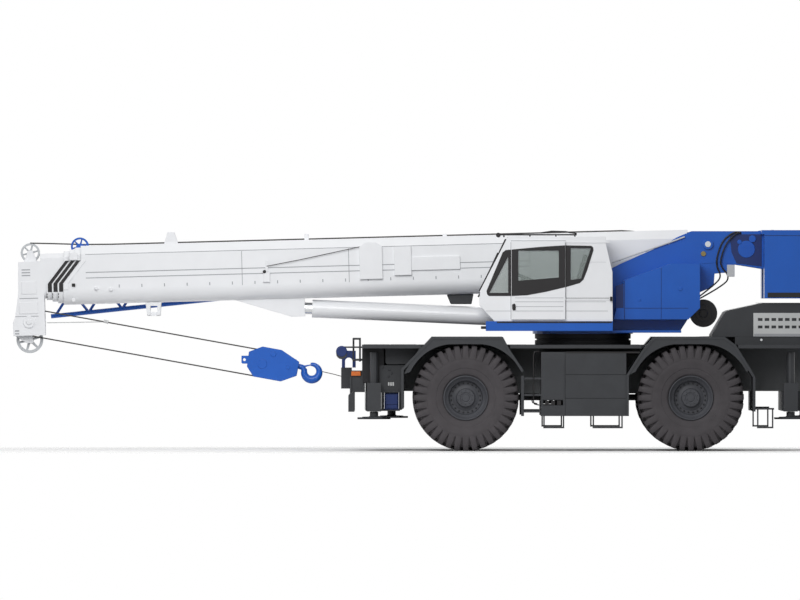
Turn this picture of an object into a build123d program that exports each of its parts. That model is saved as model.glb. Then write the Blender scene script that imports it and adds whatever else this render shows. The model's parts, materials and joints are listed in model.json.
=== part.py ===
from build123d import *
import os
from math import cos, hypot, pi, radians, sin

# A two-axle rough-terrain crane with its boom stowed over the front.
# Lengths are in millimetres. +Z is up, the boom points to -X and the cab is on the -Y side.
# Longitudinal places are measured from the slew axis, heights from the ground.
# Small bars and the rims are drawn with flat sides, which keeps the many copies light.

# Running clearances, and the flat sides that round bars and bores are cut with
RUN_GAP = 0.3
SLIDE_GAP = 6.0
SMALL_ROUND_SIDES = 16
LARGE_ROUND_SIDES = 30
LARGE_ROUND_R = 45.0

# Tyres, rims and axles
TYRE_R = 930.0
TYRE_W = 750.0
TYRE_SIDES = 36
SHOULDER_W = 60.0
SHOULDER_DROP = 45.0
SIDEWALL_DROP = 270.0
SIDEWALL_DISH = 40.0
RIM_SIDES = 20
RIM_SEAT_R = 317.0
RIM_WALL = 27.0
FLANGE_RISE = 73.0
FLANGE_T = 30.0
RIM_INSET = 45.0
DISC_OUT = 165.0
DISC_T = 30.0
HUB_R = 160.0
HUB_PROUD = 70.0
HUB_END_T = 45.0
HALF_TRACK = 1200.0
FRONT_AXLE_X = -2070.0
WHEELBASE = 3940.0
STEER_ANGLE = radians(25)
STEER_ROOM = 257.0
KINGPIN_INSET = 150.0
KINGPIN_R = 45.0
SPINDLE_R = 95.0
AXLE_HALF_H = 120.0
GEAR_CASE_R = 240.0
GEAR_CASE_HALF_W = 250.0
YOKE_HALF_H = 130.0
YOKE_T = 55.0
YOKE_R = 90.0
YOKE_GAP = 30.0
SHAFT_R = 55.0
POST_R = 48.0
POST_SPREAD = 90.0
REAR_AXLE_X = FRONT_AXLE_X + WHEELBASE
KINGPIN_Y = HALF_TRACK - KINGPIN_INSET
RIM_FLANGE_R = RIM_SEAT_R + FLANGE_RISE
RIM_INNER_R = RIM_SEAT_R - RIM_WALL
RIM_HALF_W = TYRE_W / 2 - RIM_INSET

# Carrier
FENDER_GAP = 90.0
FENDER_T = 45.0
FENDER_RISE = 140.0
FENDER_COVER = 15.0
FENDER_INSET = 200.0
SKIRT_GAP = 155.0
DECK_T = 60.0
FRAME_DEPTH = 754.0
FRAME_WALL = 40.0
ARCH_DEPTH = 615.0
BELLY_DEPTH = 795.0
ARCH_HALF = 600.0
ARCH_RUN = 220.0
FRONT_OVERHANG = 1815.0
REAR_OVERHANG = 2347.0
SIDE_INSET = 30.0
SIDE_BOX_GAP = 388.0
SIDE_BOX_TOP_GAP = 123.0
SIDE_BOX_H = 1120.0
SIDE_BOX_WALL = 40.0
BAY_L = 420.0
HOOD_FRONT_X = 2249.0
HOOD_HALF_W = 1100.0
HOOD_H = 595.0
HOOD_T = 30.0
PANEL_T = 14.0
LOUVRE_COUNT = 9
LADDER_BAR = 52.0
STEP_DROP = 200.0
STEP_BAR_R = 13.0
FENDER_TOP_Z = 2 * TYRE_R + FENDER_GAP + FENDER_T
DECK_TOP_Z = FENDER_TOP_Z - FENDER_RISE
FRAME_TOP_Z = DECK_TOP_Z - DECK_T
FRAME_LOW_Z = FRAME_TOP_Z - FRAME_DEPTH
FRAME_ARCH_Z = FRAME_TOP_Z - ARCH_DEPTH
BELLY_Z = FRAME_TOP_Z - BELLY_DEPTH
CARRIER_FRONT_X = FRONT_AXLE_X - FRONT_OVERHANG
CARRIER_REAR_X = REAR_AXLE_X + REAR_OVERHANG
CARRIER_HALF_W = HALF_TRACK + TYRE_W / 2 + FENDER_COVER
SIDE_BOX_Y = CARRIER_HALF_W - SIDE_INSET
FRAME_HALF_W = KINGPIN_Y - TYRE_R * sin(STEER_ANGLE) - STEER_ROOM
FENDER_INNER_Y = FRAME_HALF_W + FENDER_INSET
HOOD_TOP_Z = FENDER_TOP_Z + HOOD_H

# Outriggers
BEAM_W = 245.0
BEAM_H = 291.0
BEAM_DROP = 26.0
BEAM_PITCH = 306.0
BEAM_WALL = 22.0
BEAM_TAIL = 40.0
OUTRIGGER_WALL = 20.0
FRONT_BEAM_INSET = 210.0
REAR_BEAM_INSET = 595.0
JACK_INSET = 300.0
JACK_REST_GAP = 15.0
JACK_HOUSING_W = 250.0
JACK_HOUSING_BELOW = 34.0
JACK_HOUSING_ABOVE = 175.0
JACK_TUBE_H = 534.0
JACK_TUBE_R = 71.0
JACK_ROD_R = 48.0
JACK_ROD_TOP = 100.0
FOOT_DROP = 134.0
FLOAT_W = 580.0
FLOAT_CORNER = 150.0
FLOAT_T = 32.0
BEAM_LOW_Z = FRAME_LOW_Z - BEAM_DROP - BEAM_H
FRONT_BEAM_X = CARRIER_FRONT_X + FRONT_BEAM_INSET
REAR_BEAM_X = CARRIER_REAR_X - REAR_BEAM_INSET
JACK_Y = CARRIER_HALF_W - JACK_INSET
OUTRIGGER_HALF_Y = JACK_Y - JACK_HOUSING_W / 2 - JACK_REST_GAP

# Front fittings and hook
PANEL_HALF_W = 1000.0
LAMP_REACH = 184.0
NOSE_REACH = 370.0
HOOK_LEAD = 1375.0
HOOK_SHEAVE_Z = 1517.0
NOSE_X = CARRIER_FRONT_X - NOSE_REACH
HOOK_SHEAVE_X = NOSE_X - HOOK_LEAD

# Slew ring and bed
SLEW_RING_R = 845.0
SLEW_RING_H = 192.0
BED_T = 63.0
BED_RIM = 40.0
BED_HALF_W = 900.0
CAB_LIFT = 160.0
SHELF_T = 170.0
SLEW_RING_TOP_Z = DECK_TOP_Z + SLEW_RING_H
BED_TOP_Z = SLEW_RING_TOP_Z + BED_T

# Boom line
BOOM_TILT = radians(1.52)
PIN_X = 2193.0
PIN_RISE = 1512.0
PIN_R = 90.0
BOOM_W = 700.0
BOOM_H = 1030.0
BOOM_TOP_V = 266.0
BOOM_BEVEL = 150.0
BOOM_ROUND = 260.0
BOOM_WALL = 12.0
SECTION_STEP = 30.0
SECTION_LEAD = 100.0
SECTION_SETBACK = 60.0
PAD_L = 300.0
PAD_INSET = 30.0
FLANK_PLATE_T = 50.0
BASE_REAR_S = 350.0
BASE_L = 11000.0
SLANT_BACK = 320.0
SLANT_TOP_V = 0.0
SLANT_H = 390.0
HEAD_LEAD = 906.0
HEAD_BOX_DROP = 288.0
HEAD_BOX_H = 238.0
PIN_Z = BED_TOP_Z + PIN_RISE
BOOM_BOTTOM_V = BOOM_TOP_V - BOOM_H
BASE_FRONT_S = BASE_REAR_S + BASE_L
HEAD_FRONT_S = BASE_FRONT_S + HEAD_LEAD
HEAD_BOX_TOP_V = BOOM_BOTTOM_V - HEAD_BOX_DROP
HEAD_BOX_LOW_V = HEAD_BOX_TOP_V - HEAD_BOX_H

# Foot plates, winches and counterweight
FOOT_PLATE_GAP = 50.0
FOOT_PLATE_T = 50.0
COVER_W = 550.0
COVER_WALL = 30.0
WINCH_AFT = 687.0
WINCH_DROP = 102.0
DRUM_R = 190.0
DRUM_FLANGE_R = 285.0
WEIGHT_AFT = 287.0
WEIGHT_L = 1138.0
WEIGHT_HALF_W = 1250.0
WEIGHT_CAP = 74.0
WEIGHT_RISE = 208.0
SWING_GAP = 79.0
REEL_R = 245.0
FOOT_PLATE_Y = BOOM_W / 2 + FOOT_PLATE_GAP
WINCH_X = PIN_X + WINCH_AFT
WEIGHT_X = WINCH_X + WEIGHT_AFT
TAIL_REACH = WEIGHT_X + WEIGHT_L

# Overall reach; the origin lies half way between the boom head and the counterweight's tail
BOOM_REACH = HEAD_FRONT_S * cos(BOOM_TILT) + HEAD_BOX_TOP_V * sin(BOOM_TILT) - PIN_X
SLEW_X = (BOOM_REACH - TAIL_REACH) / 2

# Cab
CAB_BOOM_GAP = 210.0
CAB_W = 880.0
CAB_L = 2329.0
CAB_H = 1482.0
CAB_REAR_X = 504.0
CAB_WALL = 50.0
SCREEN_RAKE = 490.0
SILL_RISE = 530.0
DOOR_T = 44.0
DOOR_FRONT_MARGIN = 553.0
DOOR_REAR_MARGIN = 830.0
DOOR_RAIL_T = 6.0
DOOR_SILL = 30.0
DOOR_HEADER = 77.0
DOOR_LAP = 40.0
GLASS_T = 10.0
CAB_IN_Y = -BOOM_W / 2 - CAB_BOOM_GAP
CAB_OUT_Y = CAB_IN_Y - CAB_W
CAB_LOW_Z = BED_TOP_Z + CAB_LIFT
CAB_ROOF_Z = CAB_LOW_Z + CAB_H
CAB_FRONT_X = CAB_REAR_X - CAB_L
DOOR_X = (CAB_FRONT_X + DOOR_FRONT_MARGIN, CAB_REAR_X - DOOR_REAR_MARGIN)
DOOR_Z = (CAB_LOW_Z + DOOR_SILL, CAB_ROOF_Z - DOOR_HEADER)

# Lift cylinder
LIFT_BASE_X = 400.0
LIFT_BASE_RISE = 155.0
LIFT_ROD_S = 7234.0
LIFT_ROD_DROP = 164.0
LIFT_BARREL_R = 158.0
LIFT_BARREL_WALL = 28.0
LIFT_ROD_SHOW = 250.0
LIFT_ROD_R = 104.0
LIFT_PIN_R = 80.0
LIFT_EYE_R = 140.0
LIFT_EYE_W = 220.0
LIFT_EYE_GAP = 10.0
GLAND_L = 160.0
LIFT_BASE_Z = BED_TOP_Z + LIFT_BASE_RISE
LIFT_ROD_V = BOOM_BOTTOM_V - LIFT_ROD_DROP

# Sheaves, ropes and jib
ROPE_R = 10.0
ROPE_Y = 45.0
ROPE_SEAT = 1.0
SHEAVE_R = 225.0
SHEAVE_T = 24.0
SHEAVE_PIN_R = 60.0
HEAD_SHEAVE_BACK = 284.0
HEAD_SHEAVE_RISE = 4.0
LOW_SHEAVE_R = 236.0
LOW_SHEAVE_DROP = 314.0
TOP_SHEAVE_R = 170.0
TOP_SHEAVE_BACK = 333.0
TOP_SHEAVE_RISE = 167.0
JIB_L = 3700.0
JIB_LEAD = 250.0
JIB_H = 420.0
JIB_W = 220.0
JIB_GAP = 80.0
JIB_CHORD_R = 38.0
JIB_LACE_R = 22.0
JIB_LACES = 12
HEAD_SHEAVE_S = HEAD_FRONT_S - HEAD_SHEAVE_BACK
HEAD_SHEAVE_V = HEAD_BOX_TOP_V + HEAD_SHEAVE_RISE

os.makedirs("parts", exist_ok=True)


# Planes and shared forms
def at(x, y, z):
    """Point of the crane, with x measured from the slew axis."""
    return (SLEW_X + x, y, z)


def side_plane(y):
    """Side view at width y: x runs to the rear, y is height, and extruding goes to the left."""
    return Plane(origin=at(0, y, 0), x_dir=(1, 0, 0), z_dir=(0, -1, 0))


def plan_plane(z):
    """Plan view at height z: extruding goes up."""
    return Plane(origin=at(0, 0, z))


def boom_point(s, y, v):
    """Point s along the boom from its foot pin and v above its line."""
    x = PIN_X - s * cos(BOOM_TILT) - v * sin(BOOM_TILT)
    z = PIN_Z - s * sin(BOOM_TILT) + v * cos(BOOM_TILT)
    return at(x, y, z)


def boom_side_plane(y):
    """Side view of the boom at width y: x runs to the tip, extruding goes to the right."""
    forward = (-cos(BOOM_TILT), 0, -sin(BOOM_TILT))
    return Plane(origin=boom_point(0, y, 0), x_dir=forward, z_dir=(0, 1, 0))


def boom_cross_plane(s):
    """Section of the boom at s: extruding goes to the tip."""
    forward = (-cos(BOOM_TILT), 0, -sin(BOOM_TILT))
    return Plane(origin=boom_point(s, 0, 0), x_dir=(0, -1, 0), z_dir=forward)


def prism(plane, points, depth, mode=Mode.ADD):
    """Extrude a closed outline from a plane."""
    with BuildSketch(plane) as outline:
        with BuildLine():
            Polyline(*points, close=True)
        make_face()
    extrude(outline.sketch, amount=depth, mode=mode)


def side_slab(points, y_low, y_high, mode=Mode.ADD):
    """Slab with a side outline between two widths."""
    prism(side_plane(y_high), points, y_high - y_low, mode)


def boom_slab(points, y_low, y_high, mode=Mode.ADD):
    """Slab with an outline in the boom's side view between two widths."""
    prism(boom_side_plane(y_low), points, y_high - y_low, mode)


def boom_box(s, y, v, mode=Mode.ADD):
    """Box along the boom between pairs of s, y and v."""
    boom_slab([(s[0], v[0]), (s[1], v[0]), (s[1], v[1]), (s[0], v[1])], y[0], y[1], mode)


def block(x, y, z, mode=Mode.ADD):
    """Box between pairs of x, y and z."""
    with BuildSketch(plan_plane(z[0])) as base:
        with Locations(((x[0] + x[1]) / 2, (y[0] + y[1]) / 2)):
            Rectangle(x[1] - x[0], y[1] - y[0])
    extrude(base.sketch, amount=z[1] - z[0], mode=mode)


def round_on(plane, centre, radius, depth, mode=Mode.ADD):
    """Round bar inside its circle, or bore outside it, with flat sides, from a plane."""
    sides = LARGE_ROUND_SIDES if radius > LARGE_ROUND_R else SMALL_ROUND_SIDES
    with BuildSketch(plane) as base:
        with Locations(centre):
            RegularPolygon(radius, sides, major_radius=mode == Mode.ADD)
    extrude(base.sketch, amount=depth, mode=mode)


def cross_bar(x, z, radius, y_low, y_high, mode=Mode.ADD):
    """Round bar or bore across the crane."""
    round_on(side_plane(y_high), (x, z), radius, y_high - y_low, mode)


def boom_bar(s, v, radius, y_low, y_high, mode=Mode.ADD):
    """Round bar or bore across the boom."""
    round_on(boom_side_plane(y_low), (s, v), radius, y_high - y_low, mode)


def upright(x, y, radius, z, mode=Mode.ADD):
    """Round post or bore between a pair of heights."""
    round_on(plan_plane(z[0]), (x, y), radius, z[1] - z[0], mode)


def rod(start, end, radius, mode=Mode.ADD):
    """Round bar between two points."""
    path = Vector(*end) - Vector(*start)
    round_on(Plane(origin=start, z_dir=path), (0, 0), radius, path.length, mode)


def flat_bar(start, end, radius, sides=8):
    """Bar between two points with flat sides."""
    path = Vector(*end) - Vector(*start)
    with BuildSketch(Plane(origin=start, z_dir=path)) as base:
        RegularPolygon(radius, sides)
    extrude(base.sketch, amount=path.length)


def pair(side, near, far):
    """Widths near and far on one side of the crane, in rising order."""
    return sorted((side * near, side * far))


def save(piece, name):
    """Label a finished piece and write it."""
    piece.part.label = name
    export_step(piece.part, f"parts/{name}.step")


def mirrored_to_right():
    """Add the right-hand copy of what stands on the left."""
    mirror(about=Plane.XZ)


def folded_plate(points, thickness, y_low, y_high):
    """Plate folded along an outer line, its thickness to the right of the line's run."""
    with BuildSketch(side_plane(y_high)) as section:
        with BuildLine():
            Polyline(*points)
            offset(amount=thickness, side=Side.RIGHT, kind=Kind.INTERSECTION)
        make_face()
    extrude(section.sketch, amount=y_high - y_low)


# Carrier frame: a deep channel that arches over both axles, stiffened by cross walls
with BuildPart() as carrier_frame:
    frame_front_x = FRONT_BEAM_X - BEAM_W / 2 - SLIDE_GAP - OUTRIGGER_WALL
    frame_rear_x = REAR_BEAM_X + BEAM_PITCH + BEAM_W / 2 + SLIDE_GAP + OUTRIGGER_WALL
    side_slab(
        [
            (frame_front_x, FRAME_TOP_Z),
            (frame_front_x, FRAME_LOW_Z),
            (FRONT_AXLE_X - ARCH_HALF - ARCH_RUN, FRAME_LOW_Z),
            (FRONT_AXLE_X - ARCH_HALF, FRAME_ARCH_Z),
            (FRONT_AXLE_X + ARCH_HALF, FRAME_ARCH_Z),
            (FRONT_AXLE_X + ARCH_HALF + ARCH_RUN, BELLY_Z),
            (REAR_AXLE_X - ARCH_HALF - ARCH_RUN, BELLY_Z),
            (REAR_AXLE_X - ARCH_HALF, FRAME_ARCH_Z),
            (REAR_AXLE_X + ARCH_HALF, FRAME_ARCH_Z),
            (REAR_AXLE_X + ARCH_HALF + ARCH_RUN, FRAME_LOW_Z),
            (frame_rear_x, FRAME_LOW_Z),
            (frame_rear_x, FRAME_TOP_Z),
        ],
        -FRAME_HALF_W,
        FRAME_HALF_W,
    )
    wall_x = [frame_front_x, FRONT_AXLE_X, 0.0, REAR_AXLE_X, frame_rear_x]
    bay_y = (-FRAME_HALF_W + FRAME_WALL, FRAME_HALF_W - FRAME_WALL)
    bay_z = (BELLY_Z - FRAME_WALL, FRAME_TOP_Z - FRAME_WALL)
    for bay_start, bay_end in zip(wall_x, wall_x[1:]):
        block((bay_start + FRAME_WALL, bay_end - FRAME_WALL), bay_y, bay_z, Mode.SUBTRACT)
save(carrier_frame, "carrier_frame")

# Fender lines, from the skirt in front of a wheel to the one behind it
ladder_x = FRONT_AXLE_X + TYRE_R + SIDE_BOX_GAP - 350.0
front_skirt_x = FRONT_AXLE_X - TYRE_R - SKIRT_GAP
mid_skirt_x = REAR_AXLE_X - TYRE_R - SKIRT_GAP
rear_skirt_x = REAR_AXLE_X + TYRE_R + SKIRT_GAP
skirt_turn_z = TYRE_R + 505.0
SIDE_BOX_X = (FRONT_AXLE_X + TYRE_R + SIDE_BOX_GAP, mid_skirt_x - FENDER_T)
SIDE_BOX_Z = (DECK_TOP_Z - SIDE_BOX_TOP_GAP - SIDE_BOX_H, DECK_TOP_Z - SIDE_BOX_TOP_GAP)
FRONT_FENDER = [
    (front_skirt_x - FENDER_T, TYRE_R - 190.0),
    (front_skirt_x - FENDER_T, skirt_turn_z),
    (FRONT_AXLE_X - TYRE_R + 209.0, DECK_TOP_Z),
    (FRONT_AXLE_X - TYRE_R + 340.0, FENDER_TOP_Z),
    (FRONT_AXLE_X + TYRE_R - 277.0, FENDER_TOP_Z),
    (FRONT_AXLE_X + TYRE_R - 155.0, DECK_TOP_Z - 88.0),
    (ladder_x + LADDER_BAR, TYRE_R + 470.0),
]
REAR_FENDER = [
    (mid_skirt_x - FENDER_T, SIDE_BOX_Z[0]),
    (mid_skirt_x - FENDER_T, TYRE_R + 400.0),
    (REAR_AXLE_X - TYRE_R + 65.0, DECK_TOP_Z - 110.0),
    (REAR_AXLE_X - TYRE_R + 280.0, FENDER_TOP_Z),
    (REAR_AXLE_X + TYRE_R - 333.0, FENDER_TOP_Z),
    (REAR_AXLE_X + TYRE_R - 147.0, DECK_TOP_Z),
    (rear_skirt_x + FENDER_T, TYRE_R + 365.0),
    (rear_skirt_x + FENDER_T, TYRE_R - 239.0),
]

# Deck plate: full width ahead of, between and behind the wheels, narrow beside them
with BuildPart() as deck:
    deck_z = (FRAME_TOP_Z, DECK_TOP_Z)
    full_y = (-SIDE_BOX_Y, SIDE_BOX_Y)
    plinth_x = REAR_FENDER[5][0]
    plinth_t = 60.0
    block((CARRIER_FRONT_X, CARRIER_REAR_X), (-FENDER_INNER_Y, FENDER_INNER_Y), deck_z)
    block((CARRIER_FRONT_X, FRONT_FENDER[2][0] - DECK_T), full_y, deck_z)
    block((FRONT_FENDER[5][0], REAR_FENDER[2][0]), full_y, deck_z)
    block((plinth_x + FENDER_T, CARRIER_REAR_X), full_y, deck_z)
    block((plinth_x, CARRIER_REAR_X), (-HOOD_HALF_W, HOOD_HALF_W), (DECK_TOP_Z, FENDER_TOP_Z))
    block(
        (plinth_x + plinth_t, CARRIER_REAR_X - plinth_t),
        (-HOOD_HALF_W + plinth_t, HOOD_HALF_W - plinth_t),
        (DECK_TOP_Z, FENDER_TOP_Z),
        Mode.SUBTRACT,
    )
save(deck, "deck")

# Fenders: plates folded over the wheels, open to the inside for the steered tyres
with BuildPart() as fenders:
    folded_plate(FRONT_FENDER, FENDER_T, -CARRIER_HALF_W, -FENDER_INNER_Y)
    folded_plate(REAR_FENDER, FENDER_T, -CARRIER_HALF_W, -FENDER_INNER_Y)
    mirrored_to_right()
save(fenders, "fenders")

# Side boxes between the axles, hollow towards the frame, with slots in the step bay
with BuildPart() as side_boxes:
    box_y = (-SIDE_BOX_Y, -FRAME_HALF_W)
    block(SIDE_BOX_X, box_y, SIDE_BOX_Z)
    block(
        (SIDE_BOX_X[0] + SIDE_BOX_WALL, SIDE_BOX_X[1] - SIDE_BOX_WALL),
        (box_y[0] + SIDE_BOX_WALL, box_y[1]),
        (SIDE_BOX_Z[0] + SIDE_BOX_WALL, SIDE_BOX_Z[1] - SIDE_BOX_WALL),
        Mode.SUBTRACT,
    )
    slot_margin = 35.0
    slot_h = 90.0
    slot_z = SIDE_BOX_Z[0] + 188.0
    slot_x = (SIDE_BOX_X[0] + slot_margin, SIDE_BOX_X[0] + BAY_L - slot_margin)
    slot_y = (-SIDE_BOX_Y, -SIDE_BOX_Y + SIDE_BOX_WALL)
    block(slot_x, slot_y, (slot_z, slot_z + slot_h), Mode.SUBTRACT)
    panel_groove = 8.0
    groove_y = (-SIDE_BOX_Y, -SIDE_BOX_Y + panel_groove)
    groove_x = SIDE_BOX_X[0] + BAY_L
    block((groove_x, groove_x + panel_groove), groove_y, SIDE_BOX_Z, Mode.SUBTRACT)
    for groove_z in (SIDE_BOX_Z[0] + 305.0, SIDE_BOX_Z[0] + 720.0):
        groove_run = (groove_x, SIDE_BOX_X[1])
        block(groove_run, groove_y, (groove_z, groove_z + panel_groove), Mode.SUBTRACT)
    mirrored_to_right()
save(side_boxes, "side_boxes")

# Ladders ahead of the side boxes, and hanging step loops
with BuildPart() as ladders:
    stringer_x = (ladder_x, ladder_x + LADDER_BAR)
    stringer_y = (-SIDE_BOX_Y - 20.0, -SIDE_BOX_Y + 55.0)
    rung_y = (stringer_y[0] + 25.0, stringer_y[1] - 10.0)
    rung_h = 36.0
    rung_pitch = 289.0
    block(stringer_x, stringer_y, (SIDE_BOX_Z[0], TYRE_R + 388.0))
    for rung in range(3):
        rung_z = SIDE_BOX_Z[0] + 61.0 + rung * rung_pitch
        block((stringer_x[1], SIDE_BOX_X[0]), rung_y, (rung_z, rung_z + rung_h))
    loop_y = -SIDE_BOX_Y + 25.0
    rear_step_x = rear_skirt_x + FENDER_T
    for loop_x, loop_top_z in (
        ((SIDE_BOX_X[0] + 52.0, SIDE_BOX_X[0] + 393.0), SIDE_BOX_Z[0]),
        ((SIDE_BOX_X[1] - 577.0, SIDE_BOX_X[1] - 75.0), SIDE_BOX_Z[0]),
        ((rear_step_x + 40.0, rear_step_x + 300.0), BEAM_LOW_Z),
    ):
        loop_low_z = SIDE_BOX_Z[0] - STEP_DROP
        for leg_x in loop_x:
            flat_bar(at(leg_x, loop_y, loop_low_z), at(leg_x, loop_y, loop_top_z), STEP_BAR_R)
        rail_x = (loop_x[0] - STEP_BAR_R, loop_x[1] + STEP_BAR_R)
        flat_bar(at(rail_x[0], loop_y, loop_low_z), at(rail_x[1], loop_y, loop_low_z), STEP_BAR_R * 1.1)
    bracket_x = (rear_skirt_x + FENDER_T, rear_step_x + 325.0)
    block(bracket_x, (loop_y - 40.0, loop_y + 40.0), (BEAM_LOW_Z, BEAM_LOW_Z + 30.0))
    mirrored_to_right()
save(ladders, "ladders")

# Engine hood: a shell with a raked front, standing on the rear fenders and deck
with BuildPart() as engine_hood:
    HOOD_LINE = [
        (HOOD_FRONT_X, FENDER_TOP_Z),
        (HOOD_FRONT_X, FENDER_TOP_Z + 35.0),
        (HOOD_FRONT_X + 236.0, FENDER_TOP_Z + 437.0),
        (HOOD_FRONT_X + 289.0, FENDER_TOP_Z + 464.0),
        (HOOD_FRONT_X + 901.0, HOOD_TOP_Z),
        (CARRIER_REAR_X, HOOD_TOP_Z),
        (CARRIER_REAR_X, FENDER_TOP_Z),
    ]
    folded_plate(HOOD_LINE, HOOD_T, -HOOD_HALF_W, HOOD_HALF_W)
    side_slab(HOOD_LINE, -HOOD_HALF_W, -HOOD_HALF_W + HOOD_T)
    side_slab(HOOD_LINE, HOOD_HALF_W - HOOD_T, HOOD_HALF_W)
save(engine_hood, "engine_hood")

# Louvred side panels of the hood
with BuildPart() as hood_panels:
    panel_x = (HOOD_FRONT_X + 726.0, CARRIER_REAR_X - 52.0)
    panel_z = (FENDER_TOP_Z + 10.0, HOOD_TOP_Z - 175.0)
    panel_y = (-HOOD_HALF_W - PANEL_T, -HOOD_HALF_W)
    louvre_margin = 60.0
    louvre_w = 80.0
    louvre_h = 50.0
    louvre_rows = (0.4, 0.72)
    block(panel_x, panel_y, panel_z)
    louvre_pitch = (panel_x[1] - panel_x[0] - 2 * louvre_margin) / LOUVRE_COUNT
    for row in louvre_rows:
        louvre_z = panel_z[0] + (panel_z[1] - panel_z[0]) * row
        for louvre in range(LOUVRE_COUNT):
            louvre_x = panel_x[0] + louvre_margin + louvre_pitch * (louvre + 0.5)
            block(
                (louvre_x - louvre_w / 2, louvre_x + louvre_w / 2),
                panel_y,
                (louvre_z - louvre_h / 2, louvre_z + louvre_h / 2),
                Mode.SUBTRACT,
            )
    mirrored_to_right()
save(hood_panels, "hood_panels")

# Engine: one plain block on the deck inside the hood
with BuildPart() as engine_block:
    engine_half_w = 420.0
    engine_x = (plinth_x + 2 * plinth_t, CARRIER_REAR_X - 217.0)
    block(engine_x, (-engine_half_w, engine_half_w), (DECK_TOP_Z, HOOD_TOP_Z - 190.0))
save(engine_block, "engine_block")

# Outrigger boxes: a pair of square tunnels across the carrier at each end
with BuildPart() as outrigger_boxes:
    tunnel_half_w = BEAM_W / 2 + SLIDE_GAP
    tunnel_z = (BEAM_LOW_Z - SLIDE_GAP, BEAM_LOW_Z + BEAM_H + SLIDE_GAP)
    tunnel_y = (-OUTRIGGER_HALF_Y, OUTRIGGER_HALF_Y)
    for beam_x in (FRONT_BEAM_X, REAR_BEAM_X):
        case_reach = tunnel_half_w + OUTRIGGER_WALL
        case_x = (beam_x - case_reach, beam_x + BEAM_PITCH + case_reach)
        block(case_x, tunnel_y, (tunnel_z[0] - OUTRIGGER_WALL, FRAME_LOW_Z))
        for tunnel_x in (beam_x, beam_x + BEAM_PITCH):
            bore_x = (tunnel_x - tunnel_half_w, tunnel_x + tunnel_half_w)
            block(bore_x, tunnel_y, tunnel_z, Mode.SUBTRACT)
save(outrigger_boxes, "outrigger_boxes")

# Front fittings: cross panel, lamps, markers, mud flaps, nose box, grab loops and a round mirror
with BuildPart() as front_fittings:
    lamp_x = CARRIER_FRONT_X - LAMP_REACH
    lamp_z = (FRAME_LOW_Z - 15.0, FRAME_LOW_Z + 271.0)
    grab_z = (FRAME_TOP_Z - 235.0, DECK_TOP_Z + 105.0)
    grab_y = 900.0
    grab_r = 14.0
    block((CARRIER_FRONT_X, frame_front_x), (-PANEL_HALF_W, PANEL_HALF_W), (FRAME_LOW_Z - 15.0, FRAME_TOP_Z))
    for side in (-1, 1):
        block((lamp_x, CARRIER_FRONT_X), pair(side, PANEL_HALF_W - 360.0, PANEL_HALF_W - 40.0), lamp_z)
        marker_z = (lamp_z[1], lamp_z[1] + 73.0)
        marker_y = pair(side, PANEL_HALF_W - 300.0, PANEL_HALF_W - 100.0)
        block((lamp_x + 10.0, CARRIER_FRONT_X - 35.0), marker_y, marker_z)
        flap_y = pair(side, PANEL_HALF_W - 440.0, PANEL_HALF_W - 10.0)
        block((lamp_x - 31.0, lamp_x), flap_y, (BEAM_LOW_Z - 34.0, lamp_z[1] - 22.0))
        grab_x = (lamp_x + 30.0, CARRIER_FRONT_X - 40.0)
        for leg_x in grab_x:
            flat_bar(at(leg_x, side * grab_y, grab_z[0]), at(leg_x, side * grab_y, grab_z[1]), grab_r)
        for rail_z in (grab_z[0] + 30.0, grab_z[1]):
            rail_end_x = CARRIER_FRONT_X + 5.0 if rail_z < DECK_TOP_Z else grab_x[1] + grab_r
            flat_bar(
                at(grab_x[0] - grab_r, side * grab_y, rail_z),
                at(rail_end_x, side * grab_y, rail_z),
                grab_r * 1.1,
            )
    nose_z = (FRAME_LOW_Z + 44.0, FRAME_LOW_Z + 411.0)
    block((NOSE_X, lamp_x), (-420.0, 420.0), nose_z)
    block((lamp_x, CARRIER_FRONT_X), (-300.0, 300.0), (nose_z[0] + 65.0, nose_z[1] - 52.0))
    mirror_y = -PANEL_HALF_W + 30.0
    mirror_x = NOSE_X + 10.0
    mirror_r = 95.0
    arm_z = DECK_TOP_Z - 40.0
    flat_bar(at(CARRIER_FRONT_X, mirror_y, arm_z), at(mirror_x - 12.0, mirror_y, arm_z), 14.0)
    flat_bar(at(mirror_x, mirror_y, arm_z - 60.0), at(mirror_x, mirror_y, arm_z + 6.0), 12.0)
    flat_bar(
        at(mirror_x, mirror_y - 30.0, arm_z - mirror_r - 20.0),
        at(mirror_x, mirror_y + 30.0, arm_z - mirror_r - 20.0),
        mirror_r,
        16,
    )
save(front_fittings, "front_fittings")

# Holder that the hook is tied to while driving: an open arch on the nose box
with BuildPart() as hook_holder:
    holder_x = (NOSE_X + 11.0, NOSE_X + 256.0)
    holder_z = (nose_z[1], nose_z[1] + 298.0)
    holder_half_t = 30.0
    arch_r = 65.0
    arch_x = (holder_x[0] + holder_x[1]) / 2
    holder_y = (-holder_half_t, holder_half_t)
    block(holder_x, holder_y, holder_z)
    arch_z = holder_z[0] + 110.0
    block((arch_x - arch_r, arch_x + arch_r), holder_y, (holder_z[0], arch_z), Mode.SUBTRACT)
    cross_bar(arch_x, arch_z, arch_r, -holder_half_t, holder_half_t, Mode.SUBTRACT)
save(hook_holder, "hook_holder")

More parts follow.
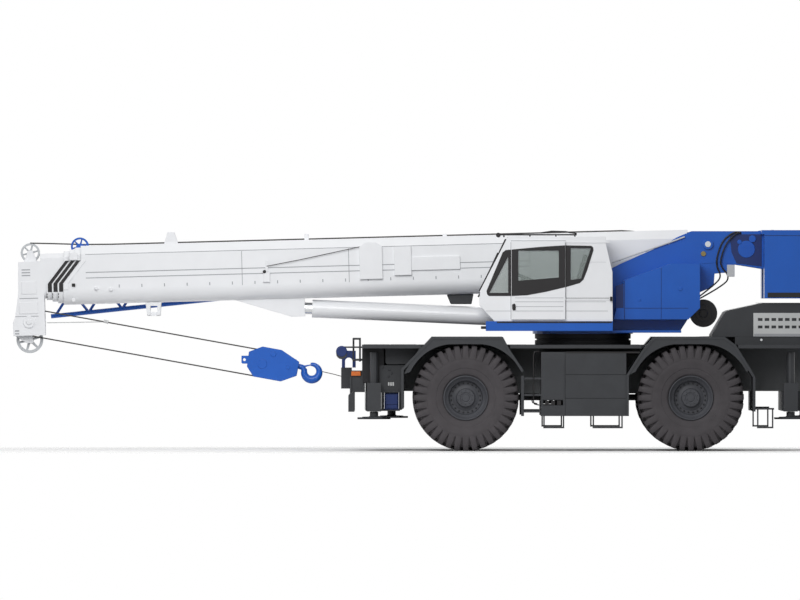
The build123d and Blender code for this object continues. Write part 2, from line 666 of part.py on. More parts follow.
# Axles: housings with gear cases, forked ends and kingpins, posts to the frame and drive shafts
with BuildPart() as axles:
    fork_inner_y = KINGPIN_Y - YOKE_R - YOKE_GAP
    fork_root_t = 40.0
    fork_half_h = YOKE_HALF_H + YOKE_T
    for axle_x in (FRONT_AXLE_X, REAR_AXLE_X):
        housing_z = (TYRE_R - AXLE_HALF_H, TYRE_R + AXLE_HALF_H)
        block((axle_x - AXLE_HALF_H, axle_x + AXLE_HALF_H), (-fork_inner_y, fork_inner_y), housing_z)
        flat_bar(
            at(axle_x, -GEAR_CASE_HALF_W, TYRE_R),
            at(axle_x, GEAR_CASE_HALF_W, TYRE_R),
            GEAR_CASE_R,
            16,
        )
        for side in (-1, 1):
            root_y = pair(side, fork_inner_y - fork_root_t, fork_inner_y)
            root_z = (TYRE_R - fork_half_h, TYRE_R + fork_half_h)
            block((axle_x - YOKE_R, axle_x + YOKE_R), root_y, root_z)
            for ear_z in (TYRE_R - fork_half_h, TYRE_R + YOKE_HALF_H):
                ear_y = side * (fork_inner_y - fork_root_t)
                tip_y = side * (KINGPIN_Y + YOKE_R)
                ear_outline = [
                    (axle_x - YOKE_R, ear_y),
                    (axle_x - YOKE_R, side * KINGPIN_Y),
                    (axle_x - YOKE_R / 2, tip_y),
                    (axle_x + YOKE_R / 2, tip_y),
                    (axle_x + YOKE_R, side * KINGPIN_Y),
                    (axle_x + YOKE_R, ear_y),
                ]
                prism(plan_plane(ear_z), ear_outline, YOKE_T)
            upright(axle_x, side * KINGPIN_Y, KINGPIN_R, (TYRE_R - fork_half_h, TYRE_R + fork_half_h))
            post_y = side * (FRAME_HALF_W - FRAME_WALL / 2)
            for post_x in (axle_x - POST_SPREAD, axle_x + POST_SPREAD):
                flat_bar(at(post_x, post_y, TYRE_R), at(post_x, post_y, FRAME_ARCH_Z), POST_R)
    flat_bar(at(FRONT_AXLE_X, 0, TYRE_R), at(REAR_AXLE_X, 0, TYRE_R), SHAFT_R, 12)
    transfer_x = (-500.0, 400.0)
    block(transfer_x, (-FRAME_HALF_W, FRAME_HALF_W), (TYRE_R - 230.0, BELLY_Z))
save(axles, "axles")

# Slew ring on the deck
with BuildPart() as slew_ring:
    upright(0, 0, SLEW_RING_R, (DECK_TOP_Z, SLEW_RING_TOP_Z))
save(slew_ring, "slew_ring")

# Steering knuckles, rims and tyres, one set for each corner
WHEELS = {
    "front_left": (FRONT_AXLE_X, -1),
    "front_right": (FRONT_AXLE_X, 1),
    "rear_left": (REAR_AXLE_X, -1),
    "rear_right": (REAR_AXLE_X, 1),
}


def wheel_plane(axle_x, side, offset):
    """Plane across a wheel's axle, an offset outwards from its middle; extruding goes outwards."""
    centre = at(axle_x, side * (HALF_TRACK + offset), TYRE_R)
    return Plane(origin=centre, x_dir=(1, 0, 0), z_dir=(0, side, 0))


def wheel_ring(corner_at, radius, offsets, mode=Mode.ADD):
    """Flat-sided disc or bore of a wheel between a pair of offsets."""
    with BuildSketch(wheel_plane(*corner_at, offsets[0])) as outline:
        RegularPolygon(radius, RIM_SIDES)
    extrude(outline.sketch, amount=offsets[1] - offsets[0], mode=mode)


for corner, corner_at in WHEELS.items():
    axle_x, side = corner_at
    hub_end = DISC_OUT + HUB_PROUD
    spindle_end = hub_end - HUB_END_T
    with BuildPart() as knuckle:
        boss_half = YOKE_R - 8.0
        boss_y = (side * KINGPIN_Y - boss_half, side * KINGPIN_Y + boss_half)
        boss_half_h = YOKE_HALF_H - RUN_GAP
        block((axle_x - boss_half, axle_x + boss_half), boss_y, (TYRE_R - boss_half_h, TYRE_R + boss_half_h))
        spindle_y = pair(side, KINGPIN_Y, HALF_TRACK + spindle_end)
        cross_bar(axle_x, TYRE_R, SPINDLE_R, spindle_y[0], spindle_y[1])
        upright(
            axle_x,
            side * KINGPIN_Y,
            KINGPIN_R + RUN_GAP,
            (TYRE_R - YOKE_HALF_H, TYRE_R + YOKE_HALF_H),
            Mode.SUBTRACT,
        )
    save(knuckle, f"knuckle_{corner}")

    with BuildPart() as rim:
        wheel_ring(corner_at, RIM_SEAT_R, (-RIM_HALF_W, RIM_HALF_W))
        wheel_ring(corner_at, RIM_FLANGE_R, (-RIM_HALF_W, -RIM_HALF_W + FLANGE_T))
        wheel_ring(corner_at, RIM_FLANGE_R, (RIM_HALF_W - FLANGE_T, RIM_HALF_W))
        wheel_ring(corner_at, RIM_INNER_R, (-RIM_HALF_W, DISC_OUT - DISC_T), Mode.SUBTRACT)
        wheel_ring(corner_at, RIM_INNER_R, (DISC_OUT, RIM_HALF_W), Mode.SUBTRACT)
        wheel_ring(corner_at, HUB_R, (DISC_OUT, hub_end))
        bore_y = pair(side, HALF_TRACK + DISC_OUT - DISC_T, HALF_TRACK + spindle_end + RUN_GAP)
        cross_bar(axle_x, TYRE_R, SPINDLE_R + RUN_GAP, bore_y[0], bore_y[1], Mode.SUBTRACT)
    save(rim, f"rim_{corner}")

    with BuildPart() as tyre:
        half_w = TYRE_W / 2
        half_step = 180.0 / TYRE_SIDES
        shoulder_y = half_w - SHOULDER_W
        with BuildSketch(wheel_plane(axle_x, side, -shoulder_y)) as tread:
            RegularPolygon(TYRE_R, TYRE_SIDES, major_radius=False, rotation=half_step)
        extrude(tread.sketch, amount=2 * shoulder_y)
        for end in (-1, 1):
            with BuildSketch(wheel_plane(axle_x, side, end * shoulder_y)) as shoulder_top:
                RegularPolygon(TYRE_R, TYRE_SIDES, major_radius=False, rotation=half_step)
            with BuildSketch(wheel_plane(axle_x, side, end * half_w)) as shoulder_low:
                RegularPolygon(TYRE_R - SHOULDER_DROP, TYRE_SIDES, major_radius=False, rotation=half_step)
            loft([shoulder_top.sketch.face(), shoulder_low.sketch.face()], ruled=True)
        dish_floor = half_w - SIDEWALL_DISH
        with BuildSketch(wheel_plane(axle_x, side, half_w)) as dish_top:
            RegularPolygon(TYRE_R - SIDEWALL_DROP, RIM_SIDES)
        with BuildSketch(wheel_plane(axle_x, side, dish_floor)) as dish_low:
            RegularPolygon(RIM_FLANGE_R + FLANGE_T, RIM_SIDES)
        loft([dish_top.sketch.face(), dish_low.sketch.face()], ruled=True, mode=Mode.SUBTRACT)
        bead = RIM_HALF_W - FLANGE_T - RUN_GAP
        wheel_ring(corner_at, RIM_SEAT_R + RUN_GAP, (-half_w, half_w), Mode.SUBTRACT)
        wheel_ring(corner_at, RIM_FLANGE_R + RUN_GAP, (bead, half_w), Mode.SUBTRACT)
        wheel_ring(corner_at, RIM_FLANGE_R + RUN_GAP, (-half_w, -bead), Mode.SUBTRACT)
    save(tyre, f"tyre_{corner}")

# Outrigger beams with their jack housings, and the jacks with their floats
OUTRIGGERS = {
    "front_left": (FRONT_BEAM_X, -1),
    "front_right": (FRONT_BEAM_X + BEAM_PITCH, 1),
    "rear_left": (REAR_BEAM_X, -1),
    "rear_right": (REAR_BEAM_X + BEAM_PITCH, 1),
}
HOUSING_Z = (BEAM_LOW_Z - JACK_HOUSING_BELOW, BEAM_LOW_Z + BEAM_H + JACK_HOUSING_ABOVE)
TUBE_TOP_Z = HOUSING_Z[1] + JACK_TUBE_H
FOOT_Z = HOUSING_Z[0] - FOOT_DROP

for corner, (beam_x, side) in OUTRIGGERS.items():
    jack_y = side * JACK_Y
    with BuildPart() as beam:
        half_w = BEAM_W / 2
        beam_y = pair(side, -OUTRIGGER_HALF_Y + BEAM_TAIL, JACK_Y - JACK_HOUSING_W / 2)
        beam_z = (BEAM_LOW_Z, BEAM_LOW_Z + BEAM_H)
        block((beam_x - half_w, beam_x + half_w), beam_y, beam_z)
        hollow_x = (beam_x - half_w + BEAM_WALL, beam_x + half_w - BEAM_WALL)
        block(hollow_x, beam_y, (beam_z[0] + BEAM_WALL, beam_z[1] - BEAM_WALL), Mode.SUBTRACT)
        housing_half = JACK_HOUSING_W / 2
        housing_y = (jack_y - housing_half, jack_y + housing_half)
        block((beam_x - housing_half, beam_x + housing_half), housing_y, HOUSING_Z)
        flat_bar(at(beam_x, jack_y, HOUSING_Z[1]), at(beam_x, jack_y, TUBE_TOP_Z), JACK_TUBE_R, 12)
        bore_z = (HOUSING_Z[0], TUBE_TOP_Z - BEAM_WALL)
        upright(beam_x, jack_y, JACK_ROD_R + RUN_GAP, bore_z, Mode.SUBTRACT)
        runner_y = pair(side, OUTRIGGER_HALF_Y - 300.0, OUTRIGGER_HALF_Y - 60.0)
        runner_z = (beam_z[0] - SLIDE_GAP + RUN_GAP, beam_z[0])
        block((beam_x - half_w, beam_x + half_w), runner_y, runner_z)
    save(beam, f"outrigger_beam_{corner}")

    with BuildPart() as jack:
        upright(beam_x, jack_y, JACK_ROD_R, (FOOT_Z + FLOAT_T, TUBE_TOP_Z - JACK_ROD_TOP))
        with BuildSketch(plan_plane(FOOT_Z)) as float_plate:
            with Locations((beam_x, jack_y)):
                Rectangle(FLOAT_W, FLOAT_W)
            chamfer(float_plate.vertices(), FLOAT_CORNER)
        extrude(float_plate.sketch, amount=FLOAT_T)
    save(jack, f"jack_{corner}")

# Slew bed: turning plate, cross box under the boom foot and the shelf that carries the cab
with BuildPart() as slew_bed:
    bed_low_z = SLEW_RING_TOP_Z + RUN_GAP
    bed_x = (-600.0, PIN_X - 478.0)
    upright(0, 0, SLEW_RING_R + BED_RIM, (bed_low_z, BED_TOP_Z))
    block(bed_x, (-BED_HALF_W, BED_HALF_W), (bed_low_z + 20.0, BED_TOP_Z))
    shelf_y = (CAB_OUT_Y - 20.0, CAB_IN_Y + 100.0)
    block((CAB_FRONT_X + 110.0, CAB_REAR_X), shelf_y, (CAB_LOW_Z - SHELF_T, CAB_LOW_Z))
    pedestal_h = 530.0
    pedestal_x = (LIFT_BASE_X + 250.0, bed_x[1] - 15.0)
    block(pedestal_x, (-FOOT_PLATE_Y, FOOT_PLATE_Y), (BED_TOP_Z, BED_TOP_Z + pedestal_h))
    ear_inner_y = LIFT_EYE_W / 2 + LIFT_EYE_GAP
    ear_t = 70.0
    ear_foot = 260.0
    ear_top = 110.0
    for side in (-1, 1):
        ear_y = pair(side, ear_inner_y, ear_inner_y + ear_t)
        ear_outline = [
            (LIFT_BASE_X - ear_foot, BED_TOP_Z),
            (LIFT_BASE_X - ear_top, LIFT_BASE_Z + ear_top),
            (LIFT_BASE_X + ear_top, LIFT_BASE_Z + ear_top),
            (LIFT_BASE_X + ear_foot, BED_TOP_Z),
        ]
        side_slab(ear_outline, ear_y[0], ear_y[1])
    pin_reach = ear_inner_y + ear_t / 2
    cross_bar(LIFT_BASE_X, LIFT_BASE_Z, LIFT_PIN_R, -pin_reach, pin_reach)
save(slew_bed, "slew_bed")

# Boom foot plates: the raked side plates that carry the foot pin, with the pin between them
FOOT_PLATE_OUT_Y = FOOT_PLATE_Y + FOOT_PLATE_T
with BuildPart() as boom_foot_plates:
    plate_outline = [
        (PIN_X - 1913.0, BED_TOP_Z),
        (PIN_X - 1913.0, PIN_Z - 542.0),
        (PIN_X - 1551.0, PIN_Z - 350.0),
        (PIN_X - 671.0, PIN_Z + 42.0),
        (PIN_X - 548.0, PIN_Z + 123.0),
        (PIN_X - 286.0, PIN_Z + 231.0),
        (WEIGHT_X + 523.0, PIN_Z + 231.0),
        (WEIGHT_X + 523.0, PIN_Z - 432.0),
        (WEIGHT_X - 17.0, PIN_Z - 432.0),
        (PIN_X + 222.0, PIN_Z - 315.0),
        (PIN_X - 151.0, PIN_Z - 350.0),
        (PIN_X - 151.0, BED_TOP_Z + 392.0),
        (PIN_X - 356.0, BED_TOP_Z + 190.0),
        (PIN_X - 478.0, BED_TOP_Z),
    ]
    side_slab(plate_outline, -FOOT_PLATE_OUT_Y, -FOOT_PLATE_Y)
    mirrored_to_right()
    pin_reach = FOOT_PLATE_OUT_Y + 40.0
    cross_bar(PIN_X, PIN_Z, PIN_R, -pin_reach, pin_reach)
save(boom_foot_plates, "boom_foot_plates")

# Side covers outside the foot plates, hollow towards them
with BuildPart() as side_covers:
    cover_outline = [
        (CAB_REAR_X + 21.0, BED_TOP_Z + 191.0),
        (CAB_REAR_X + 210.0, PIN_Z - 630.0),
        (PIN_X - 653.0, PIN_Z - 341.0),
        (PIN_X - 151.0, PIN_Z - 350.0),
        (PIN_X - 151.0, BED_TOP_Z + 392.0),
        (PIN_X - 356.0, BED_TOP_Z + 191.0),
    ]
    cover_out_y = FOOT_PLATE_OUT_Y + COVER_W
    side_slab(cover_outline, -cover_out_y, -FOOT_PLATE_OUT_Y)
    with BuildSketch(side_plane(-FOOT_PLATE_OUT_Y)) as cover_hollow:
        with BuildLine():
            Polyline(*cover_outline, close=True)
        make_face()
        offset(amount=-COVER_WALL, kind=Kind.INTERSECTION, mode=Mode.REPLACE)
    extrude(cover_hollow.sketch, amount=COVER_W - COVER_WALL, mode=Mode.SUBTRACT)
    mirrored_to_right()
save(side_covers, "side_covers")

# Winch drum between the foot plates, behind the boom foot
with BuildPart() as winches:
    drum_z = PIN_Z - WINCH_DROP
    flange_t = 30.0
    flange_y = FOOT_PLATE_Y - 70.0
    flat_bar(at(WINCH_X, -FOOT_PLATE_Y, drum_z), at(WINCH_X, FOOT_PLATE_Y, drum_z), DRUM_R, 24)
    for side in (-1, 1):
        ends = pair(side, flange_y - flange_t, flange_y)
        flat_bar(at(WINCH_X, ends[0], drum_z), at(WINCH_X, ends[1], drum_z), DRUM_FLANGE_R, 24)
save(winches, "winches")

# Counterweight behind the winches, with its cap plate and a pocket for the foot plates
with BuildPart() as counterweight:
    weight_z = (HOOD_TOP_Z + SWING_GAP, PIN_Z + WEIGHT_RISE)
    cap_z = (weight_z[1] - WEIGHT_CAP / 2, weight_z[1] + WEIGHT_CAP / 2)
    cap_lead = 50.0
    weight_y = (-WEIGHT_HALF_W, WEIGHT_HALF_W)
    pocket_y = (-FOOT_PLATE_OUT_Y, FOOT_PLATE_OUT_Y)
    block((WEIGHT_X, TAIL_REACH), weight_y, weight_z)
    block((WEIGHT_X - cap_lead, TAIL_REACH), weight_y, cap_z)
    block((WEIGHT_X - cap_lead, WEIGHT_X + 533.0), pocket_y, (weight_z[0], cap_z[1]), Mode.SUBTRACT)
save(counterweight, "counterweight")

# Hose reel on the inner face of the left foot plate
with BuildPart() as hose_reel:
    reel_x = PIN_X - 79.0
    reel_z = BED_TOP_Z + 299.0
    reel_t = 50.0
    flat_bar(at(reel_x, -FOOT_PLATE_Y, reel_z), at(reel_x, -FOOT_PLATE_Y + reel_t, reel_z), REEL_R, 24)
save(hose_reel, "hose_reel")

# Cab panels
SCREEN_LOW = (CAB_FRONT_X + 5.0, CAB_LOW_Z + SILL_RISE)
SCREEN_TOP = (CAB_FRONT_X + 5.0 + SCREEN_RAKE, CAB_ROOF_Z)
CHIN = [
    (CAB_FRONT_X + 259.0, CAB_LOW_Z),
    (CAB_FRONT_X, CAB_LOW_Z + 276.0),
    (CAB_FRONT_X, CAB_LOW_Z + 390.0),
]
ROOF_REAR_X = CAB_REAR_X - 119.0
BACK_TOP = (CAB_REAR_X - 114.0, CAB_ROOF_Z - 147.0)
BACK_LOW = (CAB_REAR_X - 5.0, CAB_ROOF_Z - 620.0)
CAB_OUTLINE = CHIN + [
    SCREEN_LOW,
    SCREEN_TOP,
    (ROOF_REAR_X, CAB_ROOF_Z),
    BACK_TOP,
    BACK_LOW,
    (CAB_REAR_X, CAB_LOW_Z),
]
FRONT_PANE = [
    (CAB_FRONT_X + 170.0, CAB_LOW_Z + 495.0),
    (DOOR_X[0] - 18.0, CAB_ROOF_Z - 282.0),
    (DOOR_X[0] - 53.0, CAB_LOW_Z + 495.0),
]
REAR_PANE = [
    (DOOR_X[1] + 90.0, CAB_LOW_Z + 722.0),
    (DOOR_X[1] + 90.0, CAB_ROOF_Z - 200.0),
    (CAB_REAR_X - 382.0, CAB_ROOF_Z - 200.0),
    (CAB_REAR_X - 562.0, CAB_LOW_Z + 722.0),
]
DOOR_PANE = [
    (DOOR_X[0] + 117.0, CAB_LOW_Z + 705.0),
    (DOOR_X[0] + 117.0, DOOR_Z[1] - 164.0),
    (DOOR_X[1] - 112.0, DOOR_Z[1] - 164.0),
    (DOOR_X[1] - 112.0, CAB_LOW_Z + 768.0),
]
INSIDE_Y = (CAB_OUT_Y + CAB_WALL, CAB_IN_Y - CAB_WALL)
FLOOR_TOP_Z = CAB_LOW_Z + CAB_WALL
ROOF_LOW_Z = CAB_ROOF_Z - CAB_WALL
RIGHT_WINDOW_X = (CAB_FRONT_X + 625.0, CAB_REAR_X - 304.0)
RIGHT_WINDOW_Z = (CAB_LOW_Z + 680.0, CAB_ROOF_Z - 192.0)
HATCH_X = (CAB_FRONT_X + 825.0, CAB_REAR_X - 804.0)
HATCH_Y = (INSIDE_Y[0] + 120.0, INSIDE_Y[1] - 120.0)
BACK_WINDOW_Y = (INSIDE_Y[0] + 100.0, INSIDE_Y[1] - 100.0)
BACK_WINDOW_Z = (BACK_LOW[1] + 48.0, BACK_TOP[1] - 45.0)
PANE_INSET = 20.0


def back_x(z):
    """Place of the cab's sloping back at a height."""
    share = (z - BACK_LOW[1]) / (BACK_TOP[1] - BACK_LOW[1])
    return BACK_LOW[0] + (BACK_TOP[0] - BACK_LOW[0]) * share


with BuildPart() as cab_side_left:
    wall_y = (CAB_OUT_Y, CAB_OUT_Y + CAB_WALL)
    side_slab(CAB_OUTLINE, wall_y[0], wall_y[1])
    doorway_x = (DOOR_X[0] + DOOR_LAP, DOOR_X[1] - DOOR_LAP)
    doorway_z = (DOOR_Z[0] + DOOR_LAP, DOOR_Z[1] - DOOR_LAP)
    block(doorway_x, wall_y, doorway_z, Mode.SUBTRACT)
    side_slab(FRONT_PANE, wall_y[0], wall_y[1], Mode.SUBTRACT)
    side_slab(REAR_PANE, wall_y[0], wall_y[1], Mode.SUBTRACT)
    rail_y = (CAB_OUT_Y - DOOR_RAIL_T + RUN_GAP, CAB_OUT_Y)
    rail_h = 30.0
    for rail_z in (CAB_LOW_Z + 370.0, CAB_ROOF_Z - 112.0):
        block((DOOR_X[1] - rail_h, CAB_REAR_X - 49.0), rail_y, (rail_z, rail_z + rail_h))
save(cab_side_left, "cab_side_left")

with BuildPart() as cab_side_right:
    right_y = (CAB_IN_Y - CAB_WALL, CAB_IN_Y)
    side_slab(CAB_OUTLINE, right_y[0], right_y[1])
    block(RIGHT_WINDOW_X, right_y, RIGHT_WINDOW_Z, Mode.SUBTRACT)
save(cab_side_right, "cab_side_right")

with BuildPart() as cab_floor:
    block((CHIN[0][0], CAB_REAR_X), INSIDE_Y, (CAB_LOW_Z, FLOOR_TOP_Z))
save(cab_floor, "cab_floor")

with BuildPart() as cab_roof:
    roof_z = (ROOF_LOW_Z, CAB_ROOF_Z)
    block((SCREEN_TOP[0], ROOF_REAR_X), INSIDE_Y, roof_z)
    block(HATCH_X, HATCH_Y, roof_z, Mode.SUBTRACT)
save(cab_roof, "cab_roof")

with BuildPart() as cab_ends:
    side_slab(
        [
            (CHIN[0][0] - CAB_WALL, FLOOR_TOP_Z),
            CHIN[1],
            CHIN[2],
            SCREEN_LOW,
            (SCREEN_LOW[0] + CAB_WALL, SCREEN_LOW[1]),
            (CHIN[1][0] + CAB_WALL, CHIN[1][1] + CAB_WALL / 2),
            (CHIN[0][0], FLOOR_TOP_Z),
        ],
        INSIDE_Y[0],
        INSIDE_Y[1],
    )
    side_slab(
        [
            (ROOF_REAR_X, ROOF_LOW_Z),
            BACK_TOP,
            BACK_LOW,
            (CAB_REAR_X, FLOOR_TOP_Z),
            (CAB_REAR_X - CAB_WALL, FLOOR_TOP_Z),
            (BACK_LOW[0] - CAB_WALL, BACK_LOW[1]),
            (BACK_TOP[0] - CAB_WALL, BACK_TOP[1]),
            (ROOF_REAR_X - CAB_WALL, ROOF_LOW_Z),
        ],
        INSIDE_Y[0],
        INSIDE_Y[1],
    )
    window_x = (BACK_TOP[0] - 2 * CAB_WALL, CAB_REAR_X + CAB_WALL)
    block(window_x, BACK_WINDOW_Y, BACK_WINDOW_Z, Mode.SUBTRACT)
save(cab_ends, "cab_ends")

# Cab glass: windscreen, side panes, right window, roof hatch and back pane
with BuildPart() as cab_glass:
    screen_rise = SCREEN_TOP[1] - SCREEN_LOW[1]
    screen_t = GLASS_T * hypot(SCREEN_RAKE, screen_rise) / screen_rise
    side_slab(
        [
            (SCREEN_LOW[0], SCREEN_LOW[1] + RUN_GAP),
            (SCREEN_TOP[0] - RUN_GAP, SCREEN_TOP[1]),
            (SCREEN_TOP[0] - RUN_GAP, SCREEN_TOP[1] - screen_t * screen_rise / SCREEN_RAKE),
            (SCREEN_LOW[0] + screen_t, SCREEN_LOW[1] + RUN_GAP),
        ],
        INSIDE_Y[0],
        INSIDE_Y[1],
    )
    pane_y = (CAB_OUT_Y + PANE_INSET, CAB_OUT_Y + PANE_INSET + GLASS_T)
    side_slab(FRONT_PANE, pane_y[0], pane_y[1])
    side_slab(REAR_PANE, pane_y[0], pane_y[1])
    right_pane_y = (CAB_IN_Y - PANE_INSET - GLASS_T, CAB_IN_Y - PANE_INSET)
    block(RIGHT_WINDOW_X, right_pane_y, RIGHT_WINDOW_Z)
    hatch_z = (CAB_ROOF_Z - PANE_INSET - GLASS_T, CAB_ROOF_Z - PANE_INSET)
    block(HATCH_X, HATCH_Y, hatch_z)
    back_pane = []
    for inset in (PANE_INSET, PANE_INSET + GLASS_T):
        back_pane.append((back_x(BACK_WINDOW_Z[0]) - inset, BACK_WINDOW_Z[0]))
        back_pane.append((back_x(BACK_WINDOW_Z[1]) - inset, BACK_WINDOW_Z[1]))
    side_slab([back_pane[0], back_pane[1], back_pane[3], back_pane[2]], BACK_WINDOW_Y[0], BACK_WINDOW_Y[1])
save(cab_glass, "cab_glass")

# Seat, consoles and steering wheel
with BuildPart() as cab_interior:
    seat_x = CAB_REAR_X - 564.0
    seat_mid_y = (CAB_OUT_Y + CAB_IN_Y) / 2
    seat_half_w = 240.0
    seat_z = FLOOR_TOP_Z + 330.0
    cushion_t = 140.0
    block((seat_x - 420.0, seat_x - 20.0), (seat_mid_y - 120.0, seat_mid_y + 120.0), (FLOOR_TOP_Z, seat_z))
    seat_y = (seat_mid_y - seat_half_w, seat_mid_y + seat_half_w)
    block((seat_x - 560.0, seat_x), seat_y, (seat_z, seat_z + cushion_t))
    backrest = [
        (seat_x - 130.0, seat_z + cushion_t),
        (seat_x, seat_z + cushion_t),
        (seat_x + 170.0, seat_z + 770.0),
        (seat_x + 60.0, seat_z + 790.0),
    ]
    side_slab(backrest, seat_y[0], seat_y[1])
    for side in (-1, 1):
        console_y = pair(side, seat_half_w + 20.0, seat_half_w + 120.0)
        console_span = (seat_mid_y + console_y[0], seat_mid_y + console_y[1])
        block((seat_x - 620.0, seat_x - 180.0), console_span, (FLOOR_TOP_Z, seat_z + 230.0))
    foot_x = seat_x - 1240.0
    foot_half = 80.0
    foot_y = (seat_mid_y - foot_half, seat_mid_y + foot_half)
    block((foot_x - foot_half, foot_x + foot_half), foot_y, (FLOOR_TOP_Z, FLOOR_TOP_Z + foot_half))
    column_foot = Vector(*at(foot_x, seat_mid_y, FLOOR_TOP_Z + foot_half / 2))
    column_top = Vector(*at(seat_x - 980.0, seat_mid_y, CAB_LOW_Z + 770.0))
    wheel_r = 190.0
    wheel_t = 28.0
    flat_bar(tuple(column_foot), tuple(column_top), 45.0)
    with BuildSketch(Plane(origin=column_top, z_dir=column_top - column_foot)) as steering_wheel:
        RegularPolygon(wheel_r, 16)
        RegularPolygon(wheel_r - wheel_t, 16, mode=Mode.SUBTRACT)
        Rectangle(2 * wheel_r - wheel_t, 2 * wheel_t)
    extrude(steering_wheel.sketch, amount=wheel_t, both=True)
save(cab_interior, "cab_interior")

# Sliding cab door and its pane
with BuildPart() as cab_door:
    door_y = (CAB_OUT_Y - DOOR_RAIL_T - DOOR_T, CAB_OUT_Y - DOOR_RAIL_T)
    block(DOOR_X, door_y, DOOR_Z)
    side_slab(DOOR_PANE, door_y[0], door_y[1], Mode.SUBTRACT)
save(cab_door, "cab_door")

with BuildPart() as cab_door_glass:
    side_slab(DOOR_PANE, door_y[0] + PANE_INSET, door_y[0] + PANE_INSET + GLASS_T)
save(cab_door_glass, "cab_door_glass")


# Boom sections
def boom_outline(plane, inset):
    """Section of the boom: bevelled shoulders above, round corners below."""
    half_w = BOOM_W / 2 - inset
    top = BOOM_TOP_V - inset
    low = BOOM_BOTTOM_V + inset
    bevel = BOOM_BEVEL - inset * (2 - 2**0.5)
    turn = BOOM_ROUND - inset
    bend = turn * (1 - 0.5**0.5)
    with BuildSketch(plane) as section:
        with BuildLine():
            Polyline(
                (half_w, low + turn),
                (half_w, top - bevel),
                (half_w - bevel, top),
                (-half_w + bevel, top),
                (-half_w, top - bevel),
                (-half_w, low + turn),
            )
            ThreePointArc((-half_w, low + turn), (-half_w + bend, low + bend), (-half_w + turn, low))
            Line((-half_w + turn, low), (half_w - turn, low))
            ThreePointArc((half_w - turn, low), (half_w - bend, low + bend), (half_w, low + turn))
        make_face()
    return section.sketch


def boom_tube(inset, rear_s, front_s):
    """Hollow boom section, square at both ends."""
    plane = boom_cross_plane(rear_s)
    extrude(boom_outline(plane, inset), amount=front_s - rear_s)
    extrude(boom_outline(plane, inset + BOOM_WALL), amount=front_s - rear_s, mode=Mode.SUBTRACT)


def rake_front(front_s):
    """Cut the upper part of a section's front end back along a slope."""
    above = BOOM_TOP_V + SECTION_STEP
    boom_slab(
        [
            (front_s - SLANT_BACK, above),
            (front_s - SLANT_BACK, SLANT_TOP_V),
            (front_s, SLANT_TOP_V - SLANT_H),
            (front_s + SECTION_LEAD, SLANT_TOP_V - SLANT_H),
            (front_s + SECTION_LEAD, above),
        ],
        -BOOM_W,
        BOOM_W,
        Mode.SUBTRACT,
    )


def slide_pads(order, front_s):
    """Pads inside a section's front end that the next section slides on."""
    inner = order * SECTION_STEP + BOOM_WALL
    reach = SECTION_STEP - BOOM_WALL - RUN_GAP
    half_w = BOOM_W / 2 - inner
    low = BOOM_BOTTOM_V + inner
    pad_s = (front_s - PAD_L - PAD_INSET, front_s - PAD_INSET)
    side_v = SLANT_TOP_V - SLANT_H - PAD_INSET
    for side in (-1, 1):
        boom_box(pad_s, pair(side, half_w - reach, half_w), (side_v - PAD_INSET, side_v))
    boom_box(pad_s, (-2 * PAD_INSET, 2 * PAD_INSET), (low, low + reach))


